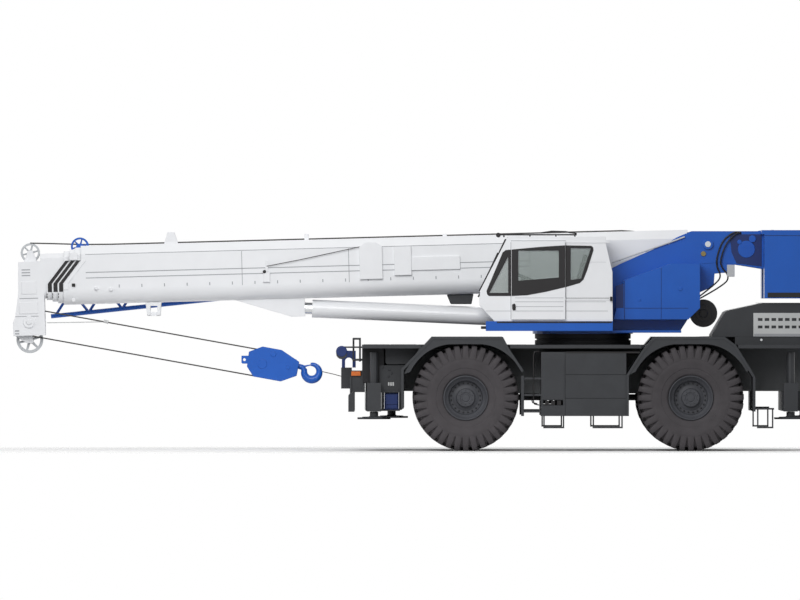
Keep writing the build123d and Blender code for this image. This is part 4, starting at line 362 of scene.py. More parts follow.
@dataclass
class MaterialShop:
    """Makes each finish once, on shared shader groups."""

    plain: Triple = (0.5, 0.5, 0.5)
    noise_detail: float = 5.0
    noise_middle: float = 0.5
    mottle_gain: float = 4.0
    edge_samples: int = 4
    fine_scale: float = 90.0
    fine_depth: float = 0.004
    strand_scale: float = 1.6
    strand_depth: float = 0.003
    strand_strength: float = 0.6
    tread_turn: float = math.radians(45.0)
    tread_scale: float = 9.0
    tread_gap: float = 0.045
    tread_strength: float = 0.5
    tread_depth: float = 0.006
    made: dict[Finish, bpy.types.Material] = field(default_factory=dict)

    def __post_init__(self) -> None:
        """Make the shared groups."""
        self.wear = self._wear_group()
        self.lay = self._lay_group()

    def get(self, finish: Finish) -> bpy.types.Material:
        """Return a finish's material, made at first use.

        Args:
            finish: The finish wanted.

        Returns:
            Its material.
        """
        if finish not in self.made:
            self.made[finish] = self._make(finish, PAINTS[finish])
        return self.made[finish]

    def _group(
        self, name: str, inputs: Mapping[str, object], outputs: Mapping[str, str]
    ) -> tuple[NodeTool, bpy.types.Node, bpy.types.Node]:
        """Start a shader group.

        Args:
            name: Its name.
            inputs: Default value of each input, a colour or a number.
            outputs: Socket type of each output.

        Returns:
            The tool of its tree, its input node and its output node.
        """
        tree = bpy.data.node_groups.new(name, "ShaderNodeTree")
        for label, default in inputs.items():
            kind = "NodeSocketFloat" if isinstance(default, float) else "NodeSocketColor"
            tree.interface.new_socket(label, in_out="INPUT", socket_type=kind).default_value = default
        for label, kind in outputs.items():
            tree.interface.new_socket(label, in_out="OUTPUT", socket_type=kind)
        tool = NodeTool(tree)
        return tool, tool.add("NodeGroupInput"), tool.add("NodeGroupOutput")

    def _wear_group(self) -> bpy.types.NodeTree:
        """Shared surface: mottled colour, varied roughness, softened edges and fine bump.

        Returns:
            The group's tree.
        """
        tool, start, end = self._group(
            "surface_wear",
            PaintSpec(self.plain).inputs(),
            {"Colour": "NodeSocketColor", "Roughness": "NodeSocketFloat", "Normal": "NodeSocketVector"},
        )
        given = start.outputs
        spot = tool.add("TexCoord").outputs["Object"]
        noise = tool.add("TexNoise", {"Vector": spot, "Scale": given["Grain"], "Detail": self.noise_detail})
        centred = tool.add("Math", {0: noise.outputs["Fac"], 1: self.noise_middle}, operation="SUBTRACT")
        amount = tool.add("Math", {0: centred.outputs[0], 1: given["Mottle"]}, operation="MULTIPLY")
        strength = {0: amount.outputs[0], 1: self.mottle_gain, 2: 1.0}
        gain = tool.add("Math", strength, operation="MULTIPLY_ADD")
        shade = tool.add("VectorMath", {0: given["Colour"], "Scale": gain.outputs[0]}, operation="SCALE")
        rough = tool.add(
            "Math", {0: given["Roughness"], 1: amount.outputs[0]}, operation="ADD", use_clamp=True
        )
        soft = tool.add("Bevel", {"Radius": given["Edge"]}, samples=self.edge_samples)
        fine = tool.add("TexNoise", {"Vector": spot, "Scale": self.fine_scale})
        bump = tool.add(
            "Bump",
            {
                "Strength": given["Bump"],
                "Distance": self.fine_depth,
                "Height": fine.outputs["Fac"],
                "Normal": soft.outputs[0],
            },
        )
        results = {"Colour": shade, "Roughness": rough, "Normal": bump}
        tool.feed(end, {label: node.outputs[0] for label, node in results.items()})
        return tool.tree

    def _lay_group(self) -> bpy.types.NodeTree:
        """Shared bump of twisted wire strands, running along a tube's UV.

        Returns:
            The group's tree.
        """
        tool, start, end = self._group(
            "rope_lay", {"Strength": self.strand_strength}, {"Normal": "NodeSocketVector"}
        )
        spot = tool.add("TexCoord").outputs["UV"]
        wave = tool.add("TexWave", {"Vector": spot, "Scale": self.strand_scale}, bands_direction="DIAGONAL")
        strength = start.outputs["Strength"]
        bump = tool.add(
            "Bump", {"Strength": strength, "Distance": self.strand_depth, "Height": wave.outputs["Fac"]}
        )
        tool.feed(end, {"Normal": bump.outputs[0]})
        return tool.tree

    def _make(self, finish: Finish, spec: PaintSpec) -> bpy.types.Material:
        """Make a finish's material.

        Args:
            finish: The finish.
            spec: Its numbers.

        Returns:
            The new material.
        """
        material = bpy.data.materials.new(finish.value)
        material.use_nodes = True
        material.diffuse_color = (*spec.colour, spec.alpha)
        tool = NodeTool(material.node_tree)
        tool.tree.nodes.clear()
        wear = tool.add("Group", spec.inputs(), node_tree=self.wear)
        normal = wear.outputs["Normal"]
        if finish is Finish.ROPE:
            normal = tool.add("Group", node_tree=self.lay).outputs["Normal"]
        if finish is Finish.TREAD:
            normal = self._raise_tread(tool, normal)
        if finish in SPLITS:
            tool.feed(wear, {"Colour": self._split(tool, SPLITS[finish])})
        shader = tool.add(
            "BsdfPrincipled",
            {
                "Base Color": wear.outputs["Colour"],
                "Roughness": wear.outputs["Roughness"],
                "Normal": normal,
                "Metallic": spec.metal,
                "Coat Weight": spec.coat,
                "Specular IOR Level": spec.shine,
                "Alpha": spec.alpha,
            },
        )
        tool.add("OutputMaterial", {0: shader.outputs[0]})
        return material

    def _raise_tread(self, tool: NodeTool, normal: bpy.types.NodeSocket) -> bpy.types.NodeSocket:
        """Raise the slanted bars of an anti-slip plate.

        Args:
            tool: Nodes of the material.
            normal: Normal of the shared surface.

        Returns:
            The raised normal.
        """
        spot = tool.add("TexCoord").outputs["Object"]
        turned = tool.add("Mapping", {"Vector": spot, "Rotation": (0.0, 0.0, self.tread_turn)})
        bars = tool.add(
            "TexBrick",
            {"Vector": turned.outputs["Vector"], "Scale": self.tread_scale, "Mortar Size": self.tread_gap},
        )
        inputs = {"Strength": self.tread_strength, "Distance": self.tread_depth, "Normal": normal}
        return tool.add("Bump", {**inputs, "Height": bars.outputs["Fac"]}, invert=True).outputs["Normal"]

    def _split(self, tool: NodeTool, split: Split) -> bpy.types.NodeSocket:
        """Let a colour change at a plane.

        Args:
            tool: Nodes of the material.
            split: Where the colour changes.

        Returns:
            The colour.
        """
        parts = tool.add("SeparateXYZ", {0: tool.add("TexCoord").outputs["Object"]})
        reach = tool.add("Math", {0: parts.outputs[split.axis]}, operation="ABSOLUTE")
        beyond = tool.add("Math", {0: reach.outputs[0], 1: split.limit}, operation="GREATER_THAN")
        # Inputs 6 and 7 and output 2 of this node are its colours
        colours = {6: (*PAINTS[split.near].colour, 1.0), 7: (*PAINTS[split.far].colour, 1.0)}
        return tool.add("Mix", {0: beyond.outputs[0], **colours}, data_type="RGBA").outputs[2]


class MeshBuilder:
    """Collects shapes in one mesh and turns them into a piece at the origin."""

    BEVEL_ANGLE = 0.4
    UV_RUN = 20.0
    HOSE_SIDES = 10
    HOSE_SPANS = 6

    def __init__(self, name: str, space: Space = Space.CRANE) -> None:
        """Start an empty mesh.

        Args:
            name: Name of the piece.
            space: What its side-view numbers mean.
        """
        self.name = name
        self.space = space
        self.bm = bmesh.new()
        self.turn = self.bm.verts.layers.float.new("turn")
        self.run = self.bm.verts.layers.float.new("run")
        self.uv = self.bm.loops.layers.uv.new("UVMap")

    def point(self, along: float, width: float, up: float) -> Vector:
        """Point of the frame, in metres, for a place in this builder's space."""
        return place(self.space, along, width, up)

    def slab(
        self, outline: Sequence[Pair], widths: Pair, bevel: float = 0.0, holes: Sequence[Outline] = ()
    ) -> None:
        """Plate with a side outline between two widths.

        Args:
            outline: Side-view corners.
            widths: Two widths in millimetres.
            bevel: Bevel of its edges in millimetres.
            holes: Outlines cut through it.
        """
        low, high = sorted(widths)
        edges: list[bmesh.types.BMEdge] = []
        for loop in (outline, *holes):
            ring = [self.bm.verts.new(self.point(along, low, up)) for along, up in loop]
            edges += [self.bm.edges.new((ring[i - 1], ring[i])) for i in range(len(ring))]
        filled = bmesh.ops.triangle_fill(self.bm, use_beauty=True, use_dissolve=False, edges=edges)
        faces = [item for item in filled["geom"] if isinstance(item, bmesh.types.BMFace)]
        grown = bmesh.ops.extrude_face_region(self.bm, geom=faces)["geom"]
        top = [item for item in grown if isinstance(item, bmesh.types.BMVert)]
        bmesh.ops.translate(self.bm, verts=top, vec=ACROSS * (high - low) * MM)
        shell = {face for vert in top for face in vert.link_faces} | set(faces)
        bmesh.ops.recalc_face_normals(self.bm, faces=list(shell))
        if bevel > 0.0:
            edges = {edge for face in shell for edge in face.edges if edge.is_manifold}
            sharp = [edge for edge in edges if edge.calc_face_angle(0.0) > self.BEVEL_ANGLE]
            bmesh.ops.bevel(
                self.bm,
                geom=sharp,
                offset=bevel * MM,
                segments=1,
                profile=0.5,
                material=-1,
                affect="EDGES",
                clamp_overlap=True,
            )

    def tube(self, path: Sequence[Vector], radius: float | Sequence[float], sides: int = 12) -> None:
        """Round bar along a path, with a UV that runs round and along it.

        Args:
            path: Points in metres.
            radius: Radius in millimetres, or one for each point.
            sides: Sides of its section.
        """
        radii = list(radius) if isinstance(radius, Sequence) else [radius] * len(path)
        places = [self._section(path, index, radii[index]) for index in range(len(path))]
        ring = bmesh.ops.create_circle(self.bm, segments=sides, radius=1.0, matrix=places[0])["verts"]
        for index, vert in enumerate(ring):
            vert[self.turn] = index / sides
            vert[self.run] = 0.0
        edges = list({edge for vert in ring for edge in vert.link_edges})
        first, run = edges, 0.0
        for before, after in zip(places, places[1:]):
            grown = bmesh.ops.extrude_edge_only(self.bm, edges=edges)["geom"]
            ring = [item for item in grown if isinstance(item, bmesh.types.BMVert)]
            bmesh.ops.transform(self.bm, matrix=after @ before.inverted(), verts=ring)
            run += (after.translation - before.translation).length
            for vert in ring:
                vert[self.run] = run
            touched = {edge for vert in ring for edge in vert.link_edges}
            edges = [edge for edge in touched if all(vert in ring for vert in edge.verts)]
            self._unwrap([item for item in grown if isinstance(item, bmesh.types.BMFace)])
        for loop in (first, edges):
            bmesh.ops.contextual_create(self.bm, geom=loop)

    @staticmethod
    def _section(path: Sequence[Vector], index: int, radius: float) -> Matrix:
        """Place of a unit circle that stands square to a path.

        Args:
            path: Points in metres.
            index: Point that the circle stands at.
            radius: Radius in millimetres.

        Returns:
            The circle's matrix.
        """
        ahead = (path[min(index + 1, len(path) - 1)] - path[max(index - 1, 0)]).normalized()
        across = ahead.cross(ACROSS)
        if across.length < SMALL:
            across = ahead.cross(UPRIGHT)
        across.normalize()
        turned = Matrix((across, ahead.cross(across), ahead)).transposed() * radius * MM
        return Matrix.Translation(path[index]) @ turned.to_4x4()

    def _unwrap(self, faces: Sequence[bmesh.types.BMFace]) -> None:
        """Set a tube's UV from the turn and the run of its points.

        Args:
            faces: Faces of one span.
        """
        half = 0.5
        for face in faces:
            turns = [vert[self.turn] for vert in face.verts]
            seam = max(turns) - min(turns) > half
            for loop in face.loops:
                turn = loop.vert[self.turn]
                whole = 1.0 if seam and turn < half else 0.0
                loop[self.uv].uv = (turn + whole, loop.vert[self.run] * self.UV_RUN)

    def hose(self, places: Sequence[Triple], radius: float) -> None:
        """Smooth hose on a spline with these places as its control points.

        Args:
            places: Side-view number, width and second side-view number of each point.
            radius: Radius in millimetres.
        """
        curve = bpy.data.curves.new(self.name, "CURVE")
        curve.dimensions = "3D"
        spline = curve.splines.new("NURBS")
        spline.points.add(len(places) - 1)
        for point, spot in zip(spline.points, places):
            point.co = (*self.point(*spot), 1.0)
        spline.order_u = 3
        spline.use_endpoint_u = True
        spline.resolution_u = self.HOSE_SPANS
        holder = bpy.data.objects.new(self.name, curve)
        path = bpy.data.meshes.new_from_object(holder)
        self.tube([vert.co.copy() for vert in path.vertices], radius, self.HOSE_SIDES)
        bpy.data.objects.remove(holder)
        bpy.data.meshes.remove(path)
        bpy.data.curves.remove(curve)

    def lathe(self, profile: Sequence[Pair], centre: Vector, axis: Vector, steps: int = 64) -> None:
        """Body of revolution.

        Args:
            profile: Radius and place along the axis of each ring, in millimetres.
            centre: Middle of the axis in metres.
            axis: Direction of the axis.
            steps: Spans round the axis.
        """
        start = round_spot(0.0, 1.0)
        spots = [self.bm.verts.new(centre + start * radius + axis * out * MM) for radius, out in profile]
        spine = [self.bm.edges.new(pair) for pair in zip(spots, spots[1:])]
        bmesh.ops.spin(
            self.bm, geom=spots + spine, cent=centre, axis=axis, angle=math.tau, steps=steps, use_merge=True
        )

    def done(
        self,
        shop: MaterialShop,
        finish: Finish,
        body: str | None,
        replaced: Sequence[str] = (),
        sharp: float = 35.0,
    ) -> bpy.types.Object:
        """Turn the mesh into a piece that rides on a body.

        Args:
            shop: Where the material comes from.
            finish: Finish of the piece.
            body: Body it rides on, or none if it is bent between two later.
            replaced: CAD nodes it stands for.
            sharp: Angle above which edges stay sharp, in degrees.

        Returns:
            The new object.
        """
        bmesh.ops.remove_doubles(self.bm, verts=self.bm.verts, dist=SMALL)
        bmesh.ops.recalc_face_normals(self.bm, faces=self.bm.faces)
        for layer in (self.turn, self.run):
            self.bm.verts.layers.float.remove(layer)
        mesh = bpy.data.meshes.new(self.name)
        self.bm.to_mesh(mesh)
        self.bm.free()
        mesh.polygons.foreach_set("use_smooth", [True] * len(mesh.polygons))
        mesh.set_sharp_from_angle(angle=math.radians(sharp))
        piece = bpy.data.objects.new(self.name, mesh)
        bpy.context.scene.collection.objects.link(piece)
        mesh.materials.append(shop.get(finish))
        if body is not None:
            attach(piece, body)
        if replaced:
            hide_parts(*replaced)
        LOG.info("%s has %d faces", self.name, len(mesh.polygons))
        return piece


@dataclass(frozen=True)
class Shape:
    """What every shape of a piece has.

    Attributes:
        both: Whether it stands on both sides, with its widths measured outwards.
    """

    both: bool = field(default=False, kw_only=True)

    def draw(self, mesh: MeshBuilder, side: float) -> None:
        """Add the shape to a mesh.

        Args:
            mesh: The mesh.
            side: Direction in which its widths are measured.
        """
        raise NotImplementedError


@dataclass(frozen=True)
class Plate(Shape):
    """Plate with a side outline, two widths, a bevel and holes through it."""

    outline: Outline
    widths: Pair
    bevel: float = 0.0
    holes: tuple[Outline, ...] = ()

    def draw(self, mesh: MeshBuilder, side: float) -> None:
        """Add the plate."""
        mesh.slab(self.outline, (side * self.widths[0], side * self.widths[1]), self.bevel, self.holes)


@dataclass(frozen=True)
class Block(Shape):
    """Box between two side-view numbers each way and two widths."""

    along: Pair
    widths: Pair
    up: Pair
    bevel: float = 0.0

    def draw(self, mesh: MeshBuilder, side: float) -> None:
        """Add the box.

        Args:
            mesh: The mesh.
            side: Direction in which its widths are measured.
        """
        (rear, front), (low, high) = self.along, self.up
        corners = ((rear, low), (front, low), (front, high), (rear, high))
        Plate(corners, self.widths, self.bevel).draw(mesh, side)


@dataclass(frozen=True)
class Disc(Shape):
    """Short round bar across the crane with broken edges."""

    centre: Pair
    radius: float
    widths: Pair
    steps: int = 32
    bevel: float = 4.0

    def draw(self, mesh: MeshBuilder, side: float) -> None:
        """Add the disc.

        Args:
            mesh: The mesh.
            side: Direction in which its widths are measured.
        """
        low, high = sorted(side * width for width in self.widths)
        radius, inner = self.radius, self.radius - self.bevel
        rim = [(inner, low), (radius, low + self.bevel), (radius, high - self.bevel), (inner, high)]
        middle = mesh.point(self.centre[0], 0.0, self.centre[1])
        mesh.lathe([(0.0, low), *rim, (0.0, high)], middle, ACROSS, self.steps)


@dataclass(frozen=True)
class Bar(Shape):
    """Round bar through places, each a side-view number, a width and a second side-view number."""

    places: tuple[Triple, ...]
    radius: float
    sides: int = 10

    def draw(self, mesh: MeshBuilder, side: float) -> None:
        """Add the bar."""
        path = [mesh.point(along, side * width, up) for along, width, up in self.places]
        mesh.tube(path, self.radius, self.sides)


@dataclass(frozen=True)
class Hose(Bar):
    """Smooth hose with its places as control points."""

    def draw(self, mesh: MeshBuilder, side: float) -> None:
        """Add the hose."""
        mesh.hose([(along, side * width, up) for along, width, up in self.places], self.radius)


@dataclass(frozen=True)
class Sheave(Shape):
    """Rope sheave with a grooved rim, and a full web or one of spokes.

    Attributes:
        centre: Side-view place of its axis.
        width: Width of its middle in millimetres.
        radius: Outer radius in millimetres.
        half: Half of its thickness in millimetres.
        spokes: Number of spokes, or 0 for a full web.
    """

    centre: Pair
    width: float
    radius: float
    half: float
    spokes: int = 0
    hub_share: float = 0.3
    rim_share: float = 0.78
    groove_share: float = 0.7
    lip_share: float = 0.8
    web_share: float = 0.4
    spoke_shares: Pair = (0.1, 0.075)
    spoke_start: float = 0.26
    spoke_run: Pair = (0.95, 1.02)
    spoke_sides: int = 8
    rim_steps: int = 48
    hub_steps: int = 32
    edge: float = 4.0
    hub_edge: float = 5.0
    lap: float = 2.0

    def draw(self, mesh: MeshBuilder, side: float) -> None:
        """Add the sheave's rim, hub and web.

        Args:
            mesh: The mesh.
            side: Direction in which its width is measured.
        """
        middle = mesh.point(self.centre[0], side * self.width, self.centre[1])
        half, radius = self.half, self.radius
        hub, inner = radius * self.hub_share, radius * self.rim_share
        rim = [(inner, -half), (radius - self.edge, -half), (radius, -half * self.lip_share)]
        groove = (radius - half * self.groove_share, 0.0)
        far_rim = [(r, -y) for r, y in reversed(rim)]
        mesh.lathe([*rim, groove, *far_rim, rim[0]], middle, ACROSS, self.rim_steps)
        bore = [(0.0, -half), (hub - self.hub_edge, -half), (hub, -half + self.hub_edge)]
        mesh.lathe([*bore, *((r, -y) for r, y in reversed(bore))], middle, ACROSS, self.hub_steps)
        if not self.spokes:
            web = half * self.web_share
            near, far = hub - self.lap, inner + self.lap
            section = [(near, -web), (far, -web), (far, web), (near, web), (near, -web)]
            mesh.lathe(section, middle, ACROSS, self.rim_steps)
        for index in range(self.spokes):
            turn = math.tau * index / self.spokes + self.spoke_start
            ends = (hub * self.spoke_run[0], inner * self.spoke_run[1])
            path = [middle + round_spot(turn, end) for end in ends]
            mesh.tube(path, [radius * share for share in self.spoke_shares], self.spoke_sides)


def mirrored(*shapes: Shape) -> tuple[Shape, ...]:
    """Shapes that stand on both sides."""
    return tuple(replace(shape, both=True) for shape in shapes)


def blocks(widths: Pair, *rows: tuple[Pair, Pair], bevel: float = 0.0) -> tuple[Shape, ...]:
    """Boxes that share two widths and a bevel, from the side-view pairs of each."""
    return tuple(Block(along, widths, up, bevel) for along, up in rows)


def widened(shape: Block | Disc, by: float) -> Shape:
    """Shape with both of its widths moved."""
    return replace(shape, widths=(shape.widths[0] + by, shape.widths[1] + by))


def discs(widths: Pair, radius: float, *centres: Pair) -> tuple[Shape, ...]:
    """Discs that share two widths and a radius."""
    return tuple(Disc(centre, radius, widths) for centre in centres)


@dataclass(frozen=True)
class Piece:
    """One mesh of the scene, or one for each side.

    Attributes:
        name: Name of its object.
        finish: Its finish.
        body: Body that it rides on.
        shapes: What it is made of.
        space: What the shapes' side-view numbers mean.
        replaced: CAD nodes that it stands for.
        sharp: Angle above which edges stay sharp, in degrees.
        handed: Whether each side has a mesh of its own, named after it.
    """

    name: str
    finish: Finish
    body: str
    shapes: tuple[Shape, ...]
    space: Space = Space.PHOTO
    replaced: tuple[str, ...] = ()
    sharp: float = 35.0
    handed: bool = False

    def build(self, shop: MaterialShop) -> None:
        """Draw the shapes and dress the mesh.

        Args:
            shop: Where the material comes from.
        """
        if self.handed:
            for tag, side in SIDES.items():
                self._mesh(shop, f"{self.name}_{tag}", (side,), (side,))
        else:
            self._mesh(shop, self.name, (RIGHT,), tuple(SIDES.values()))

    def _mesh(
        self, shop: MaterialShop, name: str, once: tuple[float, ...], twice: tuple[float, ...]
    ) -> None:
        """Draw one mesh.

        Args:
            shop: Where the material comes from.
            name: Name of its object.
            once: Directions for a shape that stands on one side.
            twice: Directions for a shape that stands on both.
        """
        mesh = MeshBuilder(name, self.space)
        for shape in self.shapes:
            for side in twice if shape.both else once:
                shape.draw(mesh, side)
        mesh.done(shop, self.finish, self.body, self.replaced, self.sharp)


@dataclass(frozen=True)
class Look:
    """Sub-assembly that holds its plain pieces in fields.

    Attributes:
        shop: Where its materials come from.
    """

    shop: MaterialShop

    def build(self) -> None:
        """Build the pieces that the fields hold."""
        for item in fields(self):
            value = getattr(self, item.name)
            if isinstance(value, Piece):
                value.build(self.shop)


def paint_cad(frame: dict, shop: MaterialShop) -> None:
    """Give every CAD node its finish: the one that its record names, or its own.

    Args:
        shop: Where the materials come from.
    """
    slots = {entry["node"]: entry["material_slot"] for entry in frame["record"]["subparts"]}
    for name, node in frame["nodes"].items():
        own = [finish for start, finish in OWN_FINISHES.items() if name.startswith(start)]
        finish = own[0] if own else Finish(slots[name])
        node.data.materials.clear()
        node.data.materials.append(shop.get(finish))


@dataclass(frozen=True)
class Wheel:
    """One wheel's place.

    Attributes:
        corner: Corner of the carrier.
        axles: Front and rear axle, in millimetres from the slew axis.
        track: Distance of the wheel's middle from the crane's, in millimetres.
    """

    corner: str
    axles: Pair = (-2070.0, 1870.0)
    track: float = 1200.0

    @property
    def side(self) -> float:
        """Outward direction: -1 on the left, 1 on the right."""
        return side_of(self.corner)

    @property
    def axis(self) -> Vector:
        """Outward direction of the axle."""
        return ACROSS * self.side

    @property
    def centre(self) -> Vector:
        """Middle of the wheel in metres."""
        along = self.axles[0] if self.corner.startswith("front") else self.axles[1]
        return place(Space.CRANE, along, self.side * self.track, AXLE_Z)


@dataclass(frozen=True)
class TyreLook:
    """Tyre with lugs that step down the shoulders, and a rim with bolts.

    The outlines are pairs of a radius and a distance outwards, in millimetres.
    """

    wheel: Wheel
    shop: MaterialShop
    lugs: int = 36
    lug_spans: int = 3
    lug_shifts: Pair = (0, 0.5)
    body: Outline = (
        (392, 292), (408, 322), (440, 336), (518, 346), (524, 353), (536, 354),
        (600, 368), (650, 374), (690, 371), (740, 350), (800, 332), (845, 312),
        (868, 270), (872, 150), (874, 0),
    )
    lug_top: Outline = (
        (686, 374), (740, 375), (800, 371), (860, 360), (902, 342), (922, 316),
        (929, 280), (930, 160), (930, 50),
    )
    lug_foot: Outline = (
        (684, 366), (735, 346), (790, 328), (838, 308), (862, 280), (866, 262),
        (868, 240), (870, 150), (872, 50),
    )
    lug_widths: tuple[float, ...] = (108, 106, 102, 97, 93, 90, 88, 84, 74)
    lug_skew: float = 14
    lug_straight: int = 5
    lug_ease: float = 0.14
    lug_foot_out: float = 5
    lug_top_in: float = 9
    rim: Outline = (
        (317, 250), (340, 285), (392, 300), (393, 322), (385, 330), (372, 330),
        (362, 318), (346, 290), (318, 272), (301, 256), (296, 205), (290, 178),
        (278, 168), (228, 165), (214, 172), (186, 176), (166, 184), (160, 224),
        (150, 233), (98, 235), (92, 226), (70, 224), (62, 233), (0, 234),
    )
    barrel: Outline = (
        (317, 250), (317, -250), (340, -285), (392, -300), (393, -322), (384, -330),
        (330, -316), (294, -296), (290, 132), (130, 135),
    )
    nut: Outline = ((0, 186), (12, 186), (15, 183), (15, 163), (0, 163))
    nuts: int = 20
    nut_circle: float = 254
    screw: Outline = ((0, 235), (9, 235), (9, 233), (0, 233))
    screws: int = 10
    screw_circle: float = 122
    bolt_shift: float = 0.5
    bolt_sides: int = 6
    rim_steps: int = 96
    barrel_steps: int = 72
    tyre_sharp: float = 40
    rim_sharp: float = 30

    def build(self) -> None:
        """Build the tyre, the rim and the rim's bolts."""
        corner, centre, axis = self.wheel.corner, self.wheel.centre, self.wheel.axis
        body = f"wheel_{corner}"
        tyre = MeshBuilder(f"look_tyre_{corner}")
        inner = [(radius, -out) for radius, out in reversed(self.body[:-1])]
        tyre.lathe([*self.body, *inner], centre, axis, self.lug_spans * self.lugs)
        for shift, side in zip(self.lug_shifts, (self.wheel.side, -self.wheel.side)):
            self._lugs(tyre, shift, side)
        tyre.done(self.shop, Finish.TYRE, body, (f"tyre_{corner}",), self.tyre_sharp)
        rim = MeshBuilder(f"look_rim_{corner}")
        rim.lathe(self.rim, centre, axis, self.rim_steps)
        rim.lathe(self.barrel, centre, axis, self.barrel_steps)
        rim.done(self.shop, Finish.RIM, body, (f"rim_{corner}",), self.rim_sharp)
        bolts = MeshBuilder(f"look_wheel_bolts_{corner}")
        rings = ((self.nuts, self.nut_circle, self.nut), (self.screws, self.screw_circle, self.screw))
        for count, radius, head in rings:
            for index in range(count):
                spot = centre + round_spot(math.tau * (index + self.bolt_shift) / count, radius)
                bolts.lathe(head, spot, axis, self.bolt_sides)
        bolts.done(self.shop, Finish.IRON, body, sharp=self.rim_sharp)

    def _lugs(self, tyre: MeshBuilder, shift: float, side: float) -> None:
        """Bridge one lug's sections and repeat it round a shoulder.

        Args:
            tyre: Mesh that they go in.
            shift: Place of the first lug, in lug spacings.
            side: Shoulder they lie on.
        """
        centre = self.wheel.centre
        rows: list[list[bmesh.types.BMVert]] = []
        for index, (top, foot) in enumerate(zip(self.lug_top, self.lug_foot)):
            half = self.lug_widths[index] / 2
            skew = max(0, (index - self.lug_straight) * self.lug_skew)
            eased = tuple(high + (low - high) * self.lug_ease for high, low in zip(top, foot))
            section = [(foot, half + self.lug_foot_out), (eased, half), (top, half - self.lug_top_in)]
            row = []
            for spot, reach in [(s, -r) for s, r in section] + section[::-1]:
                angle = math.tau * shift / self.lugs - math.pi / 2 + (reach + skew) / top[0]
                out = ACROSS * side * spot[1] * MM
                row.append(tyre.bm.verts.new(centre + round_spot(angle, spot[0]) + out))
            rows.append(row)
        strips = [[tyre.bm.edges.new(pair) for pair in zip(row, row[1:])] for row in rows]
        shell: list[bmesh.types.BMFace] = []
        for low, high in zip(strips, strips[1:]):
            shell += bmesh.ops.bridge_loops(tyre.bm, edges=low + high)["faces"]
        for row in (rows[0], rows[-1]):
            shell += bmesh.ops.contextual_create(tyre.bm, geom=row)["faces"]
        verts = [vert for row in rows for vert in row]
        edges = list({edge for face in shell for edge in face.edges})
        bmesh.ops.spin(
            tyre.bm,
            geom=verts + edges + shell,
            cent=centre,
            axis=ACROSS,
            angle=math.tau * (self.lugs - 1) / self.lugs,
            steps=self.lugs - 1,
            use_duplicate=True,
        )


